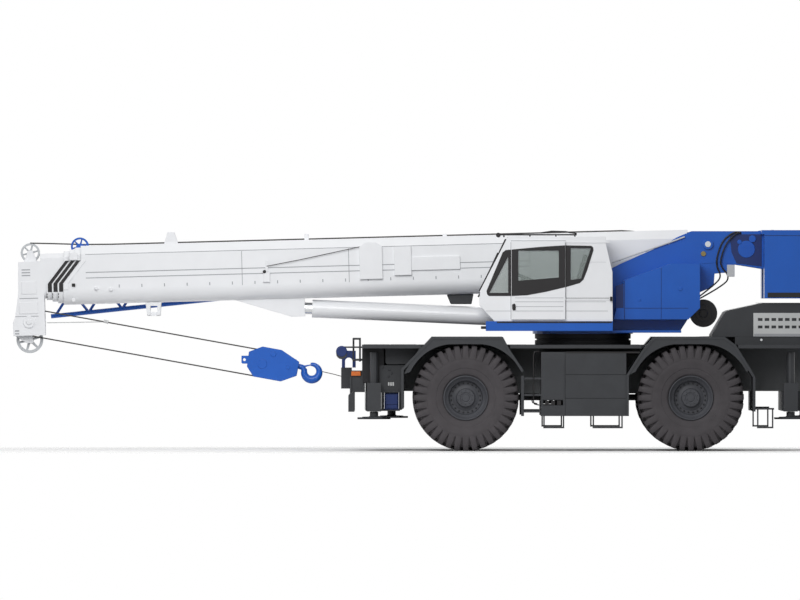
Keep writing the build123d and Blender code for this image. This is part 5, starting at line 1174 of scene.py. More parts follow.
@dataclass(frozen=True)
class BoomLook(Look):
    """Trim of the boom, its head, the hook block and the ropes."""

    flank: float = 350
    line_depth: float = 3
    weld_run: Pair = (3150, 10950)
    weld_levels: tuple[Pair, ...] = ((-213, -199), (-310, -296), (107, 117))
    marks: int = 18
    mark_start: float = 3600
    mark_step: float = 398
    mark_half: float = 8
    mark_levels: Pair = (-485, -432)
    joints: Triple = (3140, 6320, 8200)
    joint_half: float = 5
    joint_levels: Pair = (-500, 100)
    sections: int = 3
    section_front: float = 11350
    section_step: float = 100
    section_inset: float = 30
    pad_depth: float = 4
    pad: Outline = ((-412, 10), (-345, 10), (-25, -388), (-25, -532), (-96, -532), (-96, -390))
    tick_run: Pair = (-16, -4)
    tick_levels: tuple[Pair, ...] = ((-590, -556), (-640, -606))
    hook_pin: Pair = (-5630, 1517)
    head_pin: Pair = (11972, -1048)
    falls: Pair = (-45, 45)
    fall_radius: float = 235.5
    fall_steps: int = 16
    fall_sides: int = 10
    top_rope_sides: int = 8
    rope_radius: float = 12
    rope_sharp: float = 50
    hook_neck: Outline = ((560, -20), (690, -60))
    hook_neck_radii: Pair = (46, 50)
    hook_middle: Pair = (855, -142)
    hook_bend: float = 134
    hook_sweep: Pair = (168, 458)
    hook_steps: int = 30
    hook_radius: float = 54
    hook_swell: float = 17
    hook_taper: float = 24
    hook_taper_from: float = 0.7
    hook_sides: int = 16
    hook_sharp: float = 60
    latch_widths: Pair = (-14, 14)
    latch_bevel: float = 3
    hook_latch: Outline = ((700, -30), (720, -62), (838, -28), (838, -8))
    block_cheek: Outline = (
        (-250, 216), (-12, 307), (327, 245), (637, 37), (590, -210), (310, -309),
        (-173, -222), (-285, -47),
    )
    block_tab: Outline = ((-381, 20), (-360, 5), (-240, 5), (-240, 145), (-381, 145))
    top_ropes: Pair = (-35, 35)
    top_rope_start: Outline = ((1150, 240), (1350, 268))
    top_rope_level: float = 281
    top_rope_runs: tuple[int, int, int] = (1500, 11000, 500)
    top_rope_end: tuple[Triple, ...] = ((11000, 1, 290), (11500, 0.8, 318), (11923, 0.5, 338))
    tail_rope: Outline = ((1150, 240), (600, 225), (0, 200), (-350, 165), (-640, 110))
    tail_bend: tuple[Pair, Pair] = ((-350, 165), (480, 225))

    base_collar: Piece = Piece(
        "look_base_collar", Finish.WHITE, "boom_base",
        mirrored(Plate(
            (
                (11030, 20), (10950, 20), (10950, -10), (11262, -392), (11262, -500),
                (11344, -500), (11344, -392), (11034, -10),
            ),
            (350, 364), 3,
        )),
        Space.BOOM,
    )
    head_sheaves: Piece = Piece(
        "look_head_sheaves", Finish.SHEAVE, "boom_tip",
        (
            *mirrored(Sheave((11972, -1048), 135, 225, 20), Sheave((11972, -1048), 45, 225, 20)),
            Sheave((11972, -1362), 0, 236, 26, 6),
            Sheave((11923, 167), 0, 170, 26, 6),
        ),
        Space.BOOM, ("head_sheaves",), 40,
    )
    head_trim: Piece = Piece(
        "look_head_trim", Finish.WHITE, "boom_tip",
        mirrored(
            Block((11830, 12090), (230, 240), (-560, -330), 3),
            Block((11810, 12140), (230, 240), (-905, -700), 3),
            Disc((11972, -1048), 105, (230, 254)),
            Disc((11972, -1048), 48, (230, 274)),
        ),
        Space.BOOM,
    )
    head_seams: Piece = Piece(
        "look_head_seams", Finish.SEAM, "boom_tip",
        mirrored(*blocks(
            (230, 233),
            ((11930, 12080), (-140, -122)),
            ((11930, 12080), (-190, -172)),
            ((11930, 12080), (-240, -222)),
            ((11800, 12130), (-640, -628)),
            ((11800, 12210), (-955, -945)),
            ((12150, 12225), (-1262, -1240)),
            ((12150, 12225), (-1212, -1190)),
        )),
        Space.BOOM,
    )
    guide_bracket: Outline = ((72, 252), (75, 243.5), (81, 243.5), (84, 252))
    guide_sheave: Piece = Piece(
        "look_guide_sheave", Finish.BLUE, "boom_base",
        (
            Sheave((78, 246.2), -60, 160, 24, 6),
            Plate(guide_bracket, (-100, -88), 3),
            Plate(guide_bracket, (-32, -20), 3),
        ),
        replaced=("boom_fittings",), sharp=40,
    )
    boom_boxes: Piece = Piece(
        "look_boom_boxes", Finish.WHITE, "boom_base",
        (
            Block((67.8, 76), (-385, -350), (260, 252.6), 5),
            *discs((-395, -340), 34, (72, 300), (95, 288), (110, 289)),
            Block((262.6, 269.4), (-392, -350), (282, 272), 5),
            Block((264.6, 267.4), (-380, -350), (272, 260), 3),
            *mirrored(
                Block((303.8, 308.2), (70, 85), (241, 233.5), 3),
                Block((442.8, 447.2), (70, 85), (241, 233.5), 3),
            ),
        ),
    )
    dark_trim: Piece = Piece(
        "look_boom_dark_trim", Finish.BLACK, "boom_base",
        (
            Block((70.3, 73.7), (-372, -350), (286.6, 283.4), 3),
            Bar(((306, -84, 234.6), (306, 84, 234.6)), 16),
            Bar(((445, -84, 234.6), (445, 84, 234.6)), 16),
            Bar(at_width(-384, (266, 266), (300, 259.4), (360, 246.4)), 6, 8),
            Disc((263.8, 271.5), 30, (-402, -385)),
        ),
    )
    under_box: Piece = Piece(
        "look_under_box", Finish.CHASSIS, "boom_base",
        (Plate(((447, 294.6), (474, 293.9), (472, 304.2), (451, 304.2)), (-110, 110), 12),),
    )
    under_holder: Piece = Piece(
        "look_under_holder", Finish.WHITE, "boom_base",
        (
            *mirrored(Plate(
                ((144, 302.6), (160, 302.2), (159, 316), (146, 316)),
                (165, 190),
                holes=(((149, 306), (156, 306), (156, 312), (149, 312)),),
            )),
            Block((146.5, 158.5), (-170, 170), (315.8, 313.4)),
            *discs((-230, -185), 28, (147.5, 314), (157, 314)),
        ),
    )
    hook_block: Piece = Piece(
        "look_hook_block", Finish.BLUE, "boom_tip",
        (
            *mirrored(
                Plate(moved(block_cheek, hook_pin), (90, 140), 7),
                Plate(
                    moved(block_tab, hook_pin), (94, 136),
                    holes=(arc((-5960, 1592), 26, 0, 337.5, 15),),
                ),
                Disc((-5644, 1515), 80, (138, 147), 36, 3),
                Disc((-5448, 1689), 48, (138, 147), 36, 3),
                Disc((-5190, 1457), 34, (138, 147), 36, 3),
            ),
            Block((-5180, -5040), (-88, 88), (1350, 1600), 10),
        ),
        Space.CRANE, ("hook_block",),
    )
    hook_sheaves: Piece = Piece(
        "look_hook_sheaves", Finish.SHEAVE, "boom_tip",
        mirrored(Sheave(hook_pin, 45, 225, 20)), Space.CRANE,
    )
    overwind_weight: Piece = Piece(
        "look_overwind_weight", Finish.PANEL, "boom_tip",
        (
            Bar(at_width(-45, (44.6, 322.9), (72, 322.5), (103, 321.9)), 8, 8),
            Bar(at_width(-45, (101.8, 321.2), (106.6, 322.4)), 30, 14),
        ),
        sharp=50,
    )
    tie_sling: Piece = Piece(
        "look_tie_sling", Finish.ROPE, "boom_tip",
        mirrored(Bar(at_width(14, (321.5, 372), (333, 374.6), (341, 376.8)), 7, 8)),
        sharp=50,
    )

    def build(self) -> None:
        """Build every piece of the boom's look."""
        super().build()
        self._flank_lines().build(self.shop)
        for order in range(1, self.sections + 1):
            self._pads(order).build(self.shop)
        self._hook()
        self._falls()
        self._top_ropes()

    def _flank_lines(self) -> Piece:
        """Long weld lines, the short marks below them and the joints of the plates.

        Returns:
            The piece.
        """
        face = (self.flank, self.flank + self.line_depth)
        rows = [(self.weld_run, levels) for levels in self.weld_levels]
        spots = [self.mark_start + index * self.mark_step for index in range(self.marks)]
        rows += [(about(spot, self.mark_half), self.mark_levels) for spot in spots]
        rows += [(about(spot, self.joint_half), self.joint_levels) for spot in self.joints]
        return Piece("look_boom_seams", Finish.SEAM, "boom_base", mirrored(*blocks(face, *rows)), Space.BOOM)

    def _pads(self, order: int) -> Piece:
        """Dark slide-pad strips in a section's raked front.

        Args:
            order: Number of the section, counted from the base.

        Returns:
            The piece.
        """
        body = f"boom_section_{order + 1}"
        front = self.section_front + self.section_step * order
        inner = self.flank - self.section_inset * order
        face = (inner, inner + self.pad_depth)
        run = (front + self.tick_run[0], front + self.tick_run[1])
        ticks = blocks(face, *((run, levels) for levels in self.tick_levels))
        shapes = mirrored(Plate(moved(self.pad, (front, 0)), face), *ticks)
        return Piece(f"look_{body}_pads", Finish.BLACK, body, shapes, Space.BOOM)

    def _hook(self) -> None:
        """Tapering hook with its latch."""
        hook = MeshBuilder("look_hook")
        middle = moved((self.hook_middle,), self.hook_pin)[0]
        bend = arc(middle, self.hook_bend, *self.hook_sweep, self.hook_steps)
        path = [hook.point(along, 0, up) for along, up in (*moved(self.hook_neck, self.hook_pin), *bend)]
        radii = list(self.hook_neck_radii)
        start = self.hook_taper_from
        for step in range(self.hook_steps + 1):
            share = step / self.hook_steps
            swell = self.hook_swell * math.sin(math.pi * min(share / start, 1))
            taper = self.hook_taper * max(0, share - start) / (1 - start)
            radii.append(self.hook_radius + swell - taper)
        hook.tube(path, radii, self.hook_sides)
        hook.slab(moved(self.hook_latch, self.hook_pin), self.latch_widths, self.latch_bevel)
        hook.done(self.shop, Finish.BLUE, "boom_tip", sharp=self.hook_sharp)

    def _falls(self) -> None:
        """Taut hoist ropes round the sheaves of the head and of the hook block."""
        head = place(Space.BOOM, self.head_pin[0], 0, self.head_pin[1])
        hook = place(Space.CRANE, self.hook_pin[0], 0, self.hook_pin[1])
        ahead = (hook - head).normalized()
        tilt = math.degrees(math.atan2(ahead.z, ahead.x))
        ropes = MeshBuilder("look_hoist_ropes")
        for width in self.falls:
            path = []
            for middle, start in ((head, tilt + 3 * QUARTER), (hook, tilt + QUARTER)):
                end = start - 2 * QUARTER
                spots = arc((middle.x, middle.z), self.fall_radius * MM, start, end, self.fall_steps)
                path += [Vector((x, width * MM, z)) for x, z in spots]
            ropes.tube(path + path[:1], self.rope_radius, self.fall_sides)
        ropes.done(self.shop, Finish.ROPE, "boom_tip", ("hoist_ropes",), self.rope_sharp)

    def _top_ropes(self) -> None:
        """Ropes on the boom's top, drawn out with the head, and their tails to the winch."""
        top = MeshBuilder("look_top_ropes", Space.BOOM)
        tail = MeshBuilder("look_winch_ropes", Space.BOOM)
        level = [(float(along), self.top_rope_level) for along in range(*self.top_rope_runs)]
        for width in self.top_ropes:
            run = at_width(width, *self.top_rope_start, *level)
            run += tuple((along, width * share, up) for along, share, up in self.top_rope_end)
            Bar(run, self.rope_radius, self.top_rope_sides).draw(top, RIGHT)
            Bar(at_width(width, *self.tail_rope), self.rope_radius, self.top_rope_sides).draw(tail, RIGHT)
        (first, _, low), (last, _, high) = self.top_rope_end[0], self.top_rope_end[-1]
        piece = top.done(self.shop, Finish.ROPE, None, sharp=self.rope_sharp)
        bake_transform(piece, "boom_base", "boom_tip", top.point(first, 0, low), top.point(last, 0, high))
        piece = tail.done(self.shop, Finish.ROPE, None, sharp=self.rope_sharp)
        start, end = (tail.point(along, 0, up) for along, up in self.tail_bend)
        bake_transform(piece, "superstructure", "boom_base", start, end)


@dataclass(frozen=True)
class CabLook(Look):
    """Window band, seams, painted shade of press lines, rails and roof trim of the cab."""

    wheel_middle: Triple = (-1010, -1000, 3010)
    wheel_reach: Triple = (150, 190, -110)
    wheel_steps: int = 32
    wheel_rim: float = 15
    wheel_spoke: float = 12
    wheel_sides: int = 8
    column_foot: Triple = (-1120, -1000, 2820)
    column_radius: float = 26

    band: Piece = Piece(
        "look_cab_band", Finish.BLACK, "superstructure",
        (
            Plate(
                (
                    (511.2, 249.6), (505.7, 250), (502.7, 252.4), (486.5, 291), (487.2, 294.4),
                    (489, 296), (511.2, 296),
                ),
                (-1444, -1440),
                holes=(((489.6, 292.8), (508.2, 292.8), (508.2, 256.6)),),
            ),
            Plate(
                (
                    (565.5, 245.3), (591.4, 245.8), (593.2, 247.4), (593.5, 250.4), (587, 271),
                    (583.6, 279.4), (580, 283), (565.5, 287.2),
                ),
                (-1444, -1440),
                holes=(((570.7, 279.8), (570.7, 248.2), (590.8, 248.2), (580.9, 278.6)),),
            ),
        ),
    )
    door_band: Piece = Piece(
        "look_door_band", Finish.BLACK, "cab_door",
        (Plate(
            (
                (511.6, 249.5), (541, 246.8), (565.2, 245.3), (565.2, 287.2), (546.5, 291.7),
                (527, 295.3), (511.6, 296),
            ),
            (-1494, -1490),
            holes=((
                (518.2, 280.8), (518.2, 251.4), (519.2, 250.6), (558, 250.6), (558.8, 251.4), (558.8, 277.4),
            ),),
        ),),
    )
    seams: Piece = Piece(
        "look_cab_gaps_and_press_shade", Finish.SEAM, "superstructure",
        blocks(
            (-1443, -1440),
            # The two upright lines and the top line are the door's gaps; the level lines below are painted
            # shade along the press lines of the cab
            (about(510.9, 0.25), (319, 242)),
            (about(565.8, 0.25), (319, 242)),
            ((511, 565.7), (240.9, 240.4)),
            ((566, 606), (302, 301.6)),
            ((566, 608), (311.2, 310.8)),
            ((486, 510.6), (311.2, 310.8)),
            ((566, 606), (262.2, 262)),
        ),
    )
    # Grey lines of painted shade along the press lines of the door
    door_seams: Piece = Piece(
        "look_door_seams", Finish.SEAM, "cab_door",
        blocks(
            (-1493, -1490), *(((515, 563.5), about(level, 0.2)) for level in (297.9, 301.8, 306.6, 311))
        ),
    )
    dark_trim: Piece = Piece(
        "look_cab_dark_trim", Finish.BLACK, "superstructure",
        (
            Block((566.2, 609), (-1444, -1440), (299.2, 297.9)),
            Block((610, 612.4), (-1486, -1440), (301, 296.6), 4),
            Block((497, 577), (-1330, -1296), (235.4, 234), 5),
            *blocks(
                (-1326, -1300), *((about(spot, 0.7), (237.2, 234.6)) for spot in (504, 530, 556, 575))
            ),
            Disc((498.4, 235), 42, (-1350, -1270)),
            Bar(at_width(-1330, (478.4, 297), (505.8, 239)), 13),
            Bar(at_width(-720, (478.4, 297), (505.8, 239)), 13),
            Bar(((479.4, -1010, 291), (489, -1030, 272), (498, -1040, 252.6)), 11),
            Bar(at_width(-1240, (541, 232.8), (552, 231.2), (566, 231.6), (577, 233.6)), 13),
            # Black strip of painted shade in the gap below the cab
            Block((497, 612), (-1464, -1459), (323, 321.4)),
            Block((481, 489), (-1380, -1200), (329, 326.2), 8),
        ),
    )
    handle: Piece = Piece(
        "look_door_handle", Finish.BLACK, "cab_door",
        (Plate(
            ((512.2, 304.4), (514.6, 303.4), (515.6, 305), (515.6, 309.6), (513.2, 310.6), (512.2, 309)),
            (-1512, -1490), 5,
        ),),
    )

    def build(self) -> None:
        """Build every piece of the cab's look."""
        super().build()
        self._steering().build(self.shop)

    def _steering(self) -> Piece:
        """Steering wheel and column seen through the door pane.

        Returns:
            The piece.
        """
        x, y, z = self.wheel_middle
        turns = [math.tau * step / self.wheel_steps for step in range(self.wheel_steps + 1)]
        along, across, up = self.wheel_reach
        spots = [(math.cos(turn), math.sin(turn)) for turn in turns]
        ring = tuple((x + along * near, y + across * out, z + up * near) for near, out in spots)
        shapes = (
            Bar(ring, self.wheel_rim, self.wheel_sides),
            Bar((self.wheel_middle, self.column_foot), self.column_radius),
            Bar(((x, y - across, z), (x, y + across, z)), self.wheel_spoke),
        )
        return Piece("look_steering", Finish.BLACK, "superstructure", shapes, Space.CRANE)


@dataclass(frozen=True)
class UpperLook(Look):
    """Trim of the turning upper works behind and beside the boom foot."""

    drum_middle: Pair = (2880, 3520)
    drum_core: float = 150
    drum_half: float = 250
    rope_turns: int = 25
    rope_pitch: float = 20
    rope_section: Outline = ((196, 1), (206, 6), (208, 10), (206, 14), (196, 19))
    reel_middle: Pair = (704.8, 313.3)
    reel_rings: tuple[Pair, ...] = ((236, 9), (150, 7), (70, 12))
    reel_steps: int = 48
    reel_out: float = 4
    reel_sides: int = 8
    reel_sharp: float = 60
    drum_steps: int = 48
    drum_sharp: float = 50

    foot_pin: Piece = Piece(
        "look_foot_pin", Finish.LENS, "superstructure",
        mirrored(Disc((709.3, 244), 52, (470, 502))),
    )
    foot_web: Piece = Piece(
        "look_foot_web", Finish.BLUE, "superstructure",
        mirrored(
            Plate(
                (
                    (700.5, 262), (736, 262), (736, 270), (729, 272.4), (716, 273.6),
                    (715.2, 286), (709, 289), (700.5, 292.6),
                ),
                (402, 446), 4,
            ),
            Disc((748, 249), 150, (449, 462), 40),
            Disc((754, 238.6), 62, (449, 470)),
            Disc((741, 241.6), 40, (449, 468), 28),
        ),
    )
    # Navy plate of painted shade over the recess beside the winch
    winch_recess_shade: Piece = Piece(
        "look_winch_recess", Finish.NAVY, "superstructure",
        mirrored(Plate(((731, 234), (763.4, 234), (763.4, 266.4), (738, 263.4), (733, 252)), (449, 452))),
    )
    rear_pin: Piece = Piece(
        "look_rear_pin", Finish.BRONZE, "superstructure",
        mirrored(Disc((704.8, 253.6), 46, (448, 470), 28)),
    )
    foot_hoses: Piece = Piece(
        "look_foot_hoses", Finish.BLACK, "superstructure",
        (
            Hose(
                ((743, -430, 232.4),) + at_width(
                    -470, (741, 231.8), (735, 231.8), (724, 240), (718.6, 255), (717.6, 266),
                    (723, 276), (717, 284), (699.4, 297.4),
                ),
                14,
            ),
            Hose(
                ((743, -430, 233.4),) + at_width(
                    -490, (741, 232.8), (738, 232.8), (728, 242), (722.6, 256), (721.6, 266),
                    (731, 276), (726, 285), (699.4, 299.4),
                ),
                14,
            ),
        ),
        sharp=60,
    )
    foot_bracket: Piece = Piece(
        "look_foot_bracket", Finish.PANEL, "superstructure",
        (
            Block((728.4, 736), (-520, -430), (276.6, 264.6), 6),
            Bar(at_width(-470, (613, 262.4), (640, 253), (672, 241.8), (686, 236.6)), 15),
            *(
                Bar(((along, -452, up), (along, -472, up - 1.4)), 9, 8)
                for along, up in ((621, 261), (648, 252), (670, 244))
            ),
        ),
    )
    cover_seams_and_recess_shade: Piece = Piece(
        "look_cover_recess", Finish.NAVY, "superstructure",
        # The plate is painted shade in a recess of the side cover; the thin lines are its seams
        mirrored(
            Plate(((616.2, 286), (624, 283.4), (624, 308), (616.2, 308)), (1000, 1004)),
            *blocks(
                (1000, 1004),
                ((624.6, 625.2), (319, 281)),
                ((661.6, 662), (319, 268)),
                ((625.4, 689), (308.4, 308)),
            ),
        ),
    )
    bed_ribs: Piece = Piece(
        "look_bed_ribs", Finish.BLUE, "superstructure",
        mirrored(Disc((681, 289), 34, (1000, 1012)), Disc((640, 300), 24, (1000, 1012))),
    )

    def build(self) -> None:
        """Build every piece of the upper works' look."""
        super().build()
        self._winch()
        self._reel()

    def _winch(self) -> None:
        """Rope layers on the winch drum."""
        drum = MeshBuilder("look_winch_rope")
        profile = [(self.drum_core, -self.drum_half)]
        for turn in range(self.rope_turns):
            profile += moved(self.rope_section, (0, turn * self.rope_pitch - self.drum_half))
        profile.append((self.drum_core, self.drum_half))
        drum.lathe(profile, drum.point(self.drum_middle[0], 0, self.drum_middle[1]), ACROSS, self.drum_steps)
        drum.done(self.shop, Finish.ROPE, "superstructure", sharp=self.drum_sharp)

    def _reel(self) -> None:
        """Rims and hub of the hose reel."""
        reel = MeshBuilder("look_reel", Space.PHOTO)
        low, _ = cad_box("hose_reel")
        middle = reel.point(self.reel_middle[0], low[1] + self.reel_out, self.reel_middle[1])
        for radius, size in self.reel_rings:
            turns = (math.tau * step / self.reel_steps for step in range(self.reel_steps + 1))
            reel.tube([middle + round_spot(turn, radius) for turn in turns], size, self.reel_sides)
        reel.done(self.shop, Finish.CHASSIS, "superstructure", sharp=self.reel_sharp)


@dataclass(frozen=True)
class Arch:
    """Lower edge of a fender's side plate, clear of the steered tyre.

    Attributes:
        start: First angle, as a share of half a turn.
        sweep: Angle that it covers, as a share of half a turn.
        steps: Number of spans.
        half: Half width of its round part in millimetres.
        rise: Height above the axle in millimetres.
        reach: How far each half stands apart for the steered wheel, in millimetres.
        flat: Cosine below which the middle isn't parted.
    """

    start: float = 0.16
    sweep: float = 0.68
    steps: int = 24
    half: float = 856.17
    rise: float = 940
    reach: float = 222
    flat: float = 0.05

    def points(self, axle: float) -> Outline:
        """Points of the edge round an axle.

        Args:
            axle: Photo column of the axle.

        Returns:
            The points in pixels, from the rear to the front.
        """
        points = []
        for step in range(self.steps + 1):
            turn = math.pi * (self.start + self.sweep * step / self.steps)
            ahead = math.cos(turn)
            reach = math.copysign(self.reach, ahead) if abs(ahead) > self.flat else 0
            height = AXLE_Z + self.rise * math.sin(turn)
            points.append((axle + (self.half * ahead + reach) / PIXEL, PHOTO_GROUND_PY - height / PIXEL))
        return tuple(points)


@dataclass(frozen=True)
class CarrierLook(Look):
    """Trim of the carrier: front corner, side boxes, fenders, hood and lamps."""

    cap_half: float = 112
    cap_depth: float = 14
    cap_levels: Pair = (738, 1006)
    cap_line: Pair = (806, 812)
    cap_bevel: float = 2
    collar: Outline = (
        (40, 31), (215, 31), (205, 42), (90, 46), (74, 58), (74, 124), (68, 130),
        (44, 130),
    )
    collar_steps: int = 40
    ring_steps: int = 120
    ring: Outline = ((0, 0), (842, 0), (845, 10), (845, 80), (815, 86), (815, 104), (845, 110))
    lip_run: Pair = (754.6, 821)
    lip_levels: Pair = (336.6, 333.8)
    lip_widths: Pair = (2, -10)
    slot_bevel: float = 1.5
    grille_slots: int = 7
    grille_low: float = 2110
    grille_pitch: float = 60
    grille_height: float = 28
    grille_depth: float = 5
    grille_half: float = 780
    vent_slots: int = 12
    vent_start: float = 3060
    vent_pitch: float = 80
    vent_length: float = 36
    vent_depth: float = 4
    vent_widths: Pair = (60, 760)
    # Widths of these three are measured from the edges of the front fittings
    marker: Block = Block((351.2, 360.6), (-330, -1), (376, 371.6), 6)
    nose_lens: Block = Block((350.9, 351.7), (-300, -40), (391.4, 378.4), 4)
    mirror: Disc = Disc((341.5, 351.6), 99, (-6, 64), 40, 14)
    rear_lens: Disc = Disc((762, 340), 22, (1098, 1110))
    tail_lamps: tuple[Pair, ...] = ((700, 815), (830, 945))
    tail_lamp_half: float = 45
    tail_lamp_depth: float = 14
    tail_lamp_bevel: float = 5
    weight_rows: tuple[tuple[Pair, Pair], ...] = (
        ((765.2, 829.6), (235.7, 235.3)), ((768, 826), (297.6, 292.6)),
    )
    weight_depth: float = 3
    loop_spots: Pair = (773.6, 821)
    loop_level: float = 231.9
    loop_width: float = 800
    loop_bend: float = 2
    loop_steps: int = 10
    loop_radius: float = 8
    loop_sides: int = 8
    loop_sharp: float = 60

    skirts: Piece = Piece(
        "look_fender_skirts", Finish.CHASSIS, "carrier",
        (
            Plate(
                (
                    (404.2, 374), (406, 370), (419, 349), (424.5, 345), (432, 337.4),
                    (503, 337.4), (510, 350), (523.4, 371), *Arch().points(465.7),
                ),
                (1562, 1584),
            ),
            Plate(
                (
                    (629.6, 374.6), (644, 352), (651, 341), (655, 337.4), (725, 337.4),
                    (736, 345), (751, 369), *Arch().points(690.9),
                ),
                (1562, 1584),
            ),
            Plate(((424.5, 345.2), (432, 338.2), (503, 338.2), (507, 345.2)), (606, 620)),
            Plate(((648.4, 345.2), (655, 338.2), (716, 336.4), (734, 336.4), (737, 345.2)), (606, 620)),
        ),
        handed=True,
    )
    # Near-black block of painted shade in the recess of the front corner
    front_recess: Piece = Piece(
        "look_front_recess", Finish.IRON, "carrier",
        (Block((362.6, 384), (1040, 1050), (383, 348.6)),), handed=True,
    )
    front_panel: Piece = Piece(
        "look_front_panel", Finish.CHASSIS, "carrier",
        (
            Plate(
                (
                    (387, 346.6), (418, 346.6), (419, 349), (413, 359), (409.6, 364.4),
                    (387, 364.6), (385.4, 362.6), (385.4, 348.6),
                ),
                (1100, 1115), 6,
            ),
            Plate(
                ((379.4, 366.4), (380.4, 365.2), (408, 365.2), (404.2, 371), (404.2, 392), (379.4, 392)),
                (1080, 1100), 4,
            ),
            Plate(
                ((399.9, 391.8), (404.2, 391.8), (404.2, 407.6), (401.4, 410.2), (399.9, 410.2)),
                (1080, 1100), 3,
            ),
            Plate(
                ((348.2, 395.6), (350.4, 393.4), (354.4, 393), (354.4, 412), (348.2, 412)),
                (1080, 1100), 3,
            ),
            *discs((1100, 1115), 18, (383, 367.6), (389.4, 370), (391.6, 373.4), (388.6, 376.6)),
        ),
        handed=True,
    )
    front_edges: Piece = Piece(
        "look_front_edges", Finish.PANEL, "carrier",
        (
            # The three upright light-grey lines are painted highlights along the edges of the front plates;
            # the three short bevelled blocks are small parts in the same grey
            *blocks(
                (1060, 1078),
                (about(365.2, 0.5), (410, 383.4)),
                (about(382, 0.5), (410.4, 393.6)),
                (about(399.5, 0.5), (410.4, 383)),
            ),
            *blocks(
                (1096, 1112),
                *((about(spot, 0.8), (386, 382.4)) for spot in (388.8, 391, 393.2)),
                bevel=3,
            ),
        ),
        handed=True,
    )
    side_dark: Piece = Piece(
        "look_side_dark", Finish.BLACK, "carrier",
        mirrored(
            Block((566, 640), (1540, 1562), (353.2, 351.6)),
            *blocks((1560, 1563), *(((spot, spot + 4), (405, 400.6)) for spot in (545, 551, 557))),
            Bar(
                (
                    (539, 1556, 405), (534.4, 1576, 404), (533.4, 1576, 401),
                    (533.4, 1576, 355), (534.4, 1576, 352), (539, 1556, 351.4),
                ),
                11,
            ),
        ),
    )
    side_panel: Piece = Piece(
        "look_side_panel", Finish.CHASSIS, "carrier",
        mirrored(Block((542, 564), (1560, 1563), (399.6, 359.6))),
    )
    deck_plates: Piece = Piece(
        "look_deck_plates", Finish.TREAD, "carrier",
        (
            *(
                Block(along, widths, (1855, 1859), 1.5)
                for along in ((-3860, -3405), (-3385, -2930))
                for widths in ((-1480, -500), (-480, 480), (500, 1480))
            ),
            Block((-2900, -1960), (-560, 560), (1855, 1859), 1.5),
            Block((-1940, -1000), (-560, 560), (1855, 1859), 1.5),
            *mirrored(
                Block((-720, -10), (960, 1540), (1855, 1859), 1.5),
                Block((10, 720), (960, 1540), (1855, 1859), 1.5),
            ),
        ),
        Space.CRANE,
    )

    def build(self) -> None:
        """Build every piece of the carrier's look."""
        super().build()
        for corner in CORNERS:
            self._beam_cap(corner).build(self.shop)
            self._jack_collar(corner)
        self._slew_ring()
        for piece in (*self._lamps(), *self._hood(), *self._counterweight()):
            piece.build(self.shop)

    def _beam_cap(self, corner: str) -> Piece:
        """Closed tail of one outrigger beam.

        Args:
            corner: Corner that the beam's jack stands at.

        Returns:
            The piece.
        """
        low, high = cad_box(f"outrigger_beam_{corner}")
        side = side_of(corner)
        tail = low[1] if side > 0 else high[1]
        run = about((low[0] + high[0]) / 2, self.cap_half)
        widths = (tail, tail + side * self.cap_depth)
        shapes = (Block(run, widths, self.cap_levels, self.cap_bevel), Block(run, widths, self.cap_line))
        return Piece(f"look_beam_cap_{corner}", Finish.NAVY, f"outrigger_{corner}", shapes, Space.CRANE)

    def _jack_collar(self, corner: str) -> None:
        """Socket between one jack's rod and its float.

        Args:
            corner: Corner that the jack stands at.
        """
        low, high = cad_box(f"jack_{corner}")
        collar = MeshBuilder(f"look_jack_collar_{corner}")
        foot = collar.point((low[0] + high[0]) / 2, (low[1] + high[1]) / 2, low[2])
        collar.lathe(self.collar, foot, UPRIGHT, self.collar_steps)
        collar.done(self.shop, Finish.CHASSIS, f"jack_{corner}")

    def _slew_ring(self) -> None:
        """Round bearing in place of the flat-sided one."""
        low, high = cad_box("slew_ring")
        height = high[2] - low[2]
        ring = MeshBuilder("look_slew_ring")
        levels = (*self.ring, (self.ring[-1][0], height), (0, height))
        ring.lathe(levels, ring.point(0, 0, low[2]), UPRIGHT, self.ring_steps)
        ring.done(self.shop, Finish.IRON, "carrier", ("slew_ring",))

    def _lamps(self) -> tuple[Piece, ...]:
        """Orange markers, lamp lenses and mirror at the front, side lamps and tail lamps.

        Returns:
            The pieces.
        """
        (_, left, _), (_, right, _) = cad_box("front_fittings")
        lenses = mirrored(self.rear_lens, widened(self.nose_lens, right))
        low, high = cad_box("outrigger_boxes")
        run = (high[0], high[0] + self.tail_lamp_depth)
        levels = about((low[2] + high[2]) / 2, self.tail_lamp_half)
        tails = mirrored(*(Block(run, widths, levels, self.tail_lamp_bevel) for widths in self.tail_lamps))
        return (
            Piece("look_markers", Finish.ORANGE, "carrier", mirrored(widened(self.marker, right))),
            Piece("look_mirror", Finish.NAVY, "carrier", (widened(self.mirror, left),)),
            Piece("look_lamp_lenses", Finish.LENS, "carrier", lenses),
            Piece("look_tail_lamps", Finish.RED, "carrier", tails, Space.CRANE),
        )

    def _hood(self) -> tuple[Piece, ...]:
        """Darker lip below the hood's louvred panels, and near-black bars of painted shade for the openings
        of the grilles on its rear and top.

        Returns:
            The pieces.
        """
        low, high = cad_box("hood_panels")
        near, far = self.lip_widths
        lips = tuple(
            Block(self.lip_run, (edge + side * near, edge + side * far), self.lip_levels)
            for side, edge in ((LEFT, low[1]), (RIGHT, high[1]))
        )
        _, (back, _, top) = cad_box("engine_hood")
        run, widths = (back, back + self.grille_depth), (-self.grille_half, self.grille_half)
        # Near-black bars of painted shade stand for the openings of the rear grille and the top vents
        slots: list[Shape] = []
        for index in range(self.grille_slots):
            level = self.grille_low + self.grille_pitch * index
            slots.append(Block(run, widths, (level, level + self.grille_height), self.slot_bevel))
        levels = (top, top + self.vent_depth)
        for index in range(self.vent_slots):
            start = self.vent_start + self.vent_pitch * index
            vent = Block((start, start + self.vent_length), self.vent_widths, levels, self.slot_bevel)
            slots += mirrored(vent)
        return (
            Piece("look_hood_lip", Finish.SEAM, "carrier", lips),
            Piece("look_hood_grille_shade", Finish.IRON, "carrier", tuple(slots), Space.CRANE),
        )

